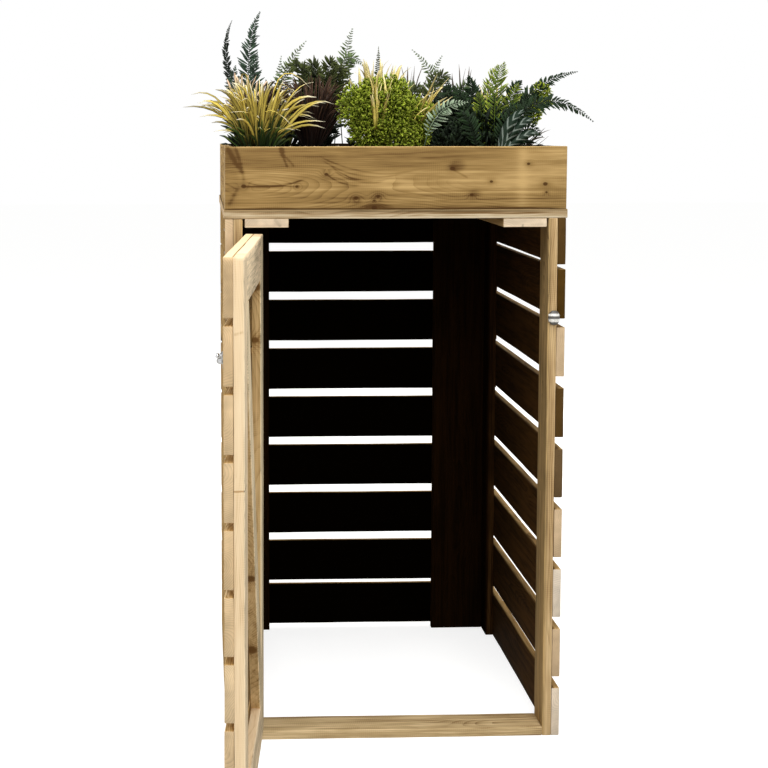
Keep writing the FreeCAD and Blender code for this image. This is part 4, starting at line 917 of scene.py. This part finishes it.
dark_fern = leaf_paint("dark_fern", (16, 20, 14), (28, 36, 28), (44, 52, 42), (58, 70, 58))
foliage("tall_dark_frond", dark_fern, fronds((
    ((-290, 640), (-440, 640, 1665), (-379, 640, 1789), 12),
), rise=55, leaflet=5.5, pitch=6.5))
slate_fern = leaf_paint("slate_fern", (30, 40, 30), (52, 70, 54), (50, 64, 52), (100, 120, 102), 0.8)
foliage("tall_slate_fronds", slate_fern, fronds((
    ((-305, 620), (-368, 620, 1680), (-303, 620, 1811), 28),
    ((-285, 590), (-345, 580, 1600), (-312, 570, 1700), 28),
    ((-325, 560), (-395, 550, 1580), (-372, 540, 1662), 26),
), rise=46, leaflet=6.5, pitch=7), "tall_ferns")
grey_fern = leaf_paint("grey_fern", (38, 44, 22), (80, 96, 56), (96, 112, 72), (134, 150, 112), 0.8)
foliage("grey_fronds", grey_fern, fronds((
    ((-245, 520), (-288, 520, 1620), (-183, 520, 1727), 28),
    ((-225, 690), (-262, 690, 1580), (-242, 690, 1695), 20),
    ((-105, 560), (-95, 560, 1640), (-56, 560, 1762), 32),
    ((-85, 500), (-120, 500, 1760), (-30, 480, 1655), 30),
    ((-150, 520), (-190, 520, 1720), (-165, 470, 1600), 28),
    ((200, 620), (225, 620, 1610), (112, 620, 1709), 26),
    ((165, 660), (140, 660, 1600), (202, 660, 1694), 22),
    ((190, 540), (215, 540, 1640), (262, 500, 1600), 30),
    ((150, 560), (105, 540, 1650), (60, 500, 1610), 26),
), rise=34, leaflet=6, pitch=9.5))
mound_fern = leaf_paint("mound_fern", (26, 28, 12), (54, 62, 24), (74, 82, 38), (94, 102, 56))
foliage("mound_fronds", mound_fern, fronds((
    ((-165, 420), (-190, 420, 1772), (-262, 400, 1600), 24),
    ((-145, 440), (-150, 440, 1756), (-205, 420, 1620), 26),
    ((-125, 420), (-120, 420, 1752), (-70, 400, 1600), 24),
    ((-140, 400), (-140, 400, 1740), (-115, 380, 1640), 26),
    ((60, 460), (80, 460, 1640), (130, 440, 1590), 26),
    ((110, 420), (140, 420, 1680), (190, 400, 1620), 28),
), leaflet=6))
foliage("conifer_tip", mound_fern, fronds((
    ((20, 600), (16, 600, 1600), (19, 600, 1716), 16),
), rise=28, leaflet=6, pitch=6.5))
pale_fern = leaf_paint("pale_fern", (52, 66, 44), (128, 146, 118), (168, 182, 156), (190, 202, 180), 0.8)
foliage("pale_fronds", pale_fern, fronds((
    ((76, 100), (88, 82, 1556), (182, 72, 1556), 27),
), rise=30, leaflet=6.5, pitch=9.5, bare=0.22))
dark_green = leaf_paint("dark_green", (10, 16, 5), (20, 38, 14), (36, 56, 26), (52, 74, 42), 0.8)
foliage("dark_green_fronds", dark_green, fronds((
    ((268, 200), (322, 198, 1610), (478, 200, 1634), 24),
    ((255, 110), (346, 105, 1640), (496, 100, 1508), 26),
    ((250, 90), (275, 86, 1530), (320, 82, 1550), 28),
    ((205, 72), (195, 68, 1510), (162, 64, 1535), 26),
    ((225, 195), (200, 192, 1550), (162, 190, 1600), 28),
    ((240, 235), (228, 232, 1580), (206, 230, 1625), 28),
    ((292, 235), (306, 235, 1590), (342, 232, 1612), 28),
    ((300, 262), (335, 260, 1560), (402, 262, 1582), 30),
    ((205, 292), (180, 290, 1540), (158, 300, 1622), 34),
    ((300, 135), (330, 132, 1530), (376, 130, 1472), 26),
), leaflet=6.5, pitch=6.5), "spreading_ferns")
lime_fern = leaf_paint("lime_fern", (24, 34, 10), (82, 102, 28), (146, 156, 50), (176, 178, 74), 0.8)
foliage("lime_fronds", lime_fern, fronds((
    ((262, 145), (250, 142, 1600), (282, 138, 1655), 30),
    ((236, 168), (232, 165, 1540), (220, 160, 1582), 24),
    ((285, 168), (296, 165, 1560), (320, 160, 1604), 24),
    ((262, 332), (262, 330, 1590), (300, 328, 1655), 30),
    ((310, 305), (350, 305, 1570), (400, 305, 1590), 24),
    ((340, 382), (390, 380, 1540), (432, 380, 1570), 24),
), rise=48))

# Undergrowth. Short dark leaves crowd between the fronds' feet and fill the beds, so that hardly any
# light comes through there. They are moulded like the fronds and pushed into the same soil. Three
# broad leaves with silver stripes stand in front of them.


def thicket(middle, spread, top, count, long, wide, bottom=ROOT):
    """Short leaves at random in a dome: its height at a share r of its spread is
    sqrt(1 - 0.8 r^2) of the whole. They point out and up."""
    share = np.sqrt(growth.uniform(0, 1, count))
    angle = growth.uniform(0, 2 * math.pi, count)
    out = np.stack([np.cos(angle), np.sin(angle), np.zeros(count)], -1)
    base = bottom / 1000
    tall = (top / 1000 - base) * np.sqrt(1 - 0.8 * share**2)
    foot = out * share[:, None] * np.array([*spread, 0]) / 1000 + np.array([*middle, 0]) / 1000
    foot[:, 2] = base + tall * growth.uniform(0, 1, count)
    lean = unit(out * 0.5 + np.array([0, -0.1, 0.7]) + growth.normal(0, 0.4, out.shape))
    length = long / 1000 * growth.uniform(0.6, 1.1, count)[:, None]
    tip = foot + lean * length
    knee = (foot + tip) / 2 + np.array([0, 0, 0.2]) * length
    face = unit(np.array(MOSTLY_FRONT) + growth.normal(0, 0.4, out.shape))
    return leaves(foot, knee, tip, face, wide / 1000 * growth.uniform(0.7, 1.2, count), lens)


under_paint = leaf_paint("undergrowth", (8, 12, 7), (18, 28, 15), (34, 48, 26), (48, 64, 38))
foliage("undergrowth", under_paint, [
    thicket((-300, 470), (80, 90), 1590, 420, 48, 9),
    thicket((-160, 440), (36, 50), 1600, 300, 48, 9),
    thicket((10, 480), (70, 70), 1560, 200, 44, 9),
    thicket((190, 330), (110, 120), 1580, 760, 50, 10),
    thicket((245, 180), (85, 70), 1540, 520, 44, 9),
    thicket((150, 130), (40, 40), 1490, 120, 36, 8),
])
mound_paint = leaf_paint("mound_leaf", (12, 14, 7), (36, 42, 18), (60, 68, 32), (74, 82, 46))
foliage("mound_leaves", mound_paint, [thicket((-156, 440), (64, 46), 1634, 420, 44, 7, bottom=1530)])
stripe_paint, start = blank_material("silver_stripe")
leaf_along, leaf_across, _ = start.mark("leaf")
slanted = leaf_along * 5 - leaf_across.maths("ABSOLUTE") * 0.9
bands = (slanted * 2 * math.pi).maths("SINE").rise(0.3, 1.0)
surfaced(start, (bands * 0.75).blend((18, 36, 22), (130, 140, 130)), 0.45, Specular_IOR_Level=0.15)
STRIPED_LEAVES = (
    ((252, 52, ROOT), (272, 46, 1516), (312, 42, 1536)),
    ((254, 50, ROOT), (290, 44, 1512), (334, 40, 1514)),
    ((256, 48, ROOT), (300, 40, 1484), (346, 38, 1482)),
)
STRIPED_WIDTH = 0.027
striped_face = unit(np.array([[0.1, -0.9, 0.45]] * len(STRIPED_LEAVES)))
striped_width = np.full(len(STRIPED_LEAVES), STRIPED_WIDTH)
foliage("silver_striped_leaves", stripe_paint, [
    leaves(*np.array(STRIPED_LEAVES).swapaxes(0, 1) / 1000, striped_face, striped_width, lens, 14, 0.12),
])

# Grasses. Long narrow plastic blades fan out from one foot: a cream and yellow one at the front left
# corner, a dark brown one behind it, a yellow one that shows over the bush, and thin dark spikes.
GRASS_ROOT = 1428


def tuft(foot, ring, count, out, up, knee_share, width, around=(0, 360), shape=blade, stray=0.012,
         bottom=GRASS_ROOT):
    """Blades from a ring round a foot. Their tips lie between limits of azimuth, reach out and
    height, and the knees stand above the feet by a share of the height, and astray."""
    angle, out, up = (growth.uniform(*limits, count) for limits in (around, out, up))
    way = np.stack([np.cos(np.radians(angle)), np.sin(np.radians(angle)), np.zeros(count)], -1)
    base = np.array([*foot, bottom]) / 1000 + way * ring / 1000 * growth.uniform(0.1, 1, count)[:, None]
    high = np.stack([np.zeros(count), np.zeros(count), up / 1000], -1)
    tip = base + way * out[:, None] / 1000 + high
    knee = base + way * out[:, None] / 1000 * 0.4 + high * knee_share
    knee += growth.normal(0, stray, knee.shape)
    face = unit(np.array(MOSTLY_FRONT) + growth.normal(0, 0.5, way.shape))
    return leaves(base, knee, tip, face, width / 1000 * growth.uniform(0.5, 1.3, count), shape, 9, 0.3)


striped_paint = leaf_paint("striped_grass", (32, 46, 14), (206, 184, 84), (244, 236, 206), (62, 38, 26),
                           0.45, 0.7)
foliage("striped_blades", striped_paint, [
    tuft((-325, 125), 34, 36, (90, 168), (50, 150), 1.25, 10),
    tuft((-325, 125), 32, 40, (50, 120), (110, 180), 1.0, 10),
    tuft((-325, 125), 24, 24, (10, 70), (140, 195), 0.75, 9),
    tuft((-325, 125), 30, 16, (60, 140), (60, 170), 1.5, 5, stray=0.03),
], "striped_grass")
short_paint = leaf_paint("short_green_blades", (18, 28, 10), (44, 62, 22), (96, 108, 40), (28, 36, 16))
foliage("short_green_blades", short_paint, [
    tuft((-325, 120), 36, 80, (10, 70), (40, 110), 0.8, 8),
])
pink_paint = leaf_paint("pink_cream_leaves", (60, 76, 28), (140, 146, 72), (222, 190, 160), (112, 70, 50))
foliage("pink_cream_leaves", pink_paint, [
    tuft((-345, 460), 14, 60, (15, 60), (90, 215), 0.8, 11, shape=lens),
    tuft((-255, 440), 20, 40, (15, 60), (80, 180), 0.8, 9, shape=lens),
])
brown_paint = leaf_paint("brown_grass", (12, 8, 6), (38, 24, 18), (84, 60, 44), (24, 15, 11))
foliage("brown_blades", brown_paint, [
    tuft((-185, 290), 20, 130, (30, 110), (110, 190), 0.75, 6),
    tuft((-185, 290), 20, 50, (10, 60), (160, 205), 0.6, 6),
    tuft((-325, 230), 24, 70, (10, 70), (90, 180), 0.75, 8),
], "dark_grass")
yellow_paint = leaf_paint("yellow_blades_paint", (120, 118, 34), (208, 188, 96), (238, 224, 164),
                          (170, 120, 58), 0.8)
foliage("yellow_blades", yellow_paint, [
    tuft((-20, 262), 24, 34, (10, 90), (180, 245), 0.8, 11),
    tuft((-34, 128), 26, 14, (5, 40), (80, 155), 0.6, 8, around=(190, 350), bottom=1490),
    tuft((50, 150), 16, 11, (30, 120), (50, 140), 0.7, 8, around=(-50, 20), bottom=1490),
    tuft((300, 400), 18, 18, (10, 50), (140, 195), 0.7, 8),
])
spike_paint = leaf_paint("dark_spikes", (26, 28, 18), (54, 50, 36), (90, 72, 52), (40, 34, 26))
foliage("dark_spikes", spike_paint, [
    tuft((235, 560), 24, 26, (10, 80), (170, 240), 0.7, 5),
    tuft((90, 600), 24, 22, (10, 80), (170, 240), 0.7, 5),
    tuft((330, 190), 14, 16, (20, 70), (20, 70), 0.7, 4, around=(-60, 60)),
])

# Round bush. Thousands of small bright green leaves, trimmed to a rough ball; the fine twigs they grow
# on are not drawn. It is built up of smaller balls, (x, y, z, radius), and so are the bright sprigs
# among the ferns.
LUMPS = (
    (-64, 165, 1540, 36), (-72, 160, 1545, 56), (-10, 150, 1545, 62), (52, 160, 1522, 50),
    (-35, 165, 1570, 44), (8, 170, 1580, 40), (-50, 150, 1490, 50), (15, 140, 1482, 50),
    (62, 150, 1478, 38), (85, 160, 1530, 24),
)
SPRIG_LUMPS = (
    (386, 205, 1584, 20), (376, 200, 1548, 18), (394, 212, 1562, 14), (368, 205, 1524, 14),
)
LEAVES_A_LUMP, LEAVES_A_SPRIG = 950, 110
BUSH_LEAF_WIDTH, BUSH_LEAF_LENGTH = 0.0066, (0.008, 0.015)
bush_paint = leaf_paint("bush_leaf", (54, 68, 12), (118, 136, 30), (176, 184, 70), (156, 162, 60), 0.85)


def bushy(lumps, each):
    """Small leaves round the outside of balls, each as many, pointing out and up."""
    balls = np.repeat(np.array(lumps) / 1000, each, 0)
    count = len(balls)
    way = unit(growth.normal(0, 1, (count, 3)))
    foot = balls[:, :3] + way * (balls[:, 3] * growth.uniform(0.5, 1.02, count))[:, None]
    lean = unit(way + growth.normal(0, 0.6, way.shape) + np.array([0, 0, 0.3]))
    tip = foot + lean * growth.uniform(*BUSH_LEAF_LENGTH, count)[:, None]
    knee = (foot + tip) / 2 + growth.normal(0, 0.002, way.shape)
    face = unit(way * 0.6 + growth.normal(0, 0.5, way.shape))
    return [leaves(foot, knee, tip, face, np.full(count, BUSH_LEAF_WIDTH), lens, 3)]


foliage("bush_leaves", bush_paint, bushy(LUMPS, LEAVES_A_LUMP), "round_bush")
foliage("bright_sprigs", bush_paint, bushy(SPRIG_LUMPS, LEAVES_A_SPRIG))
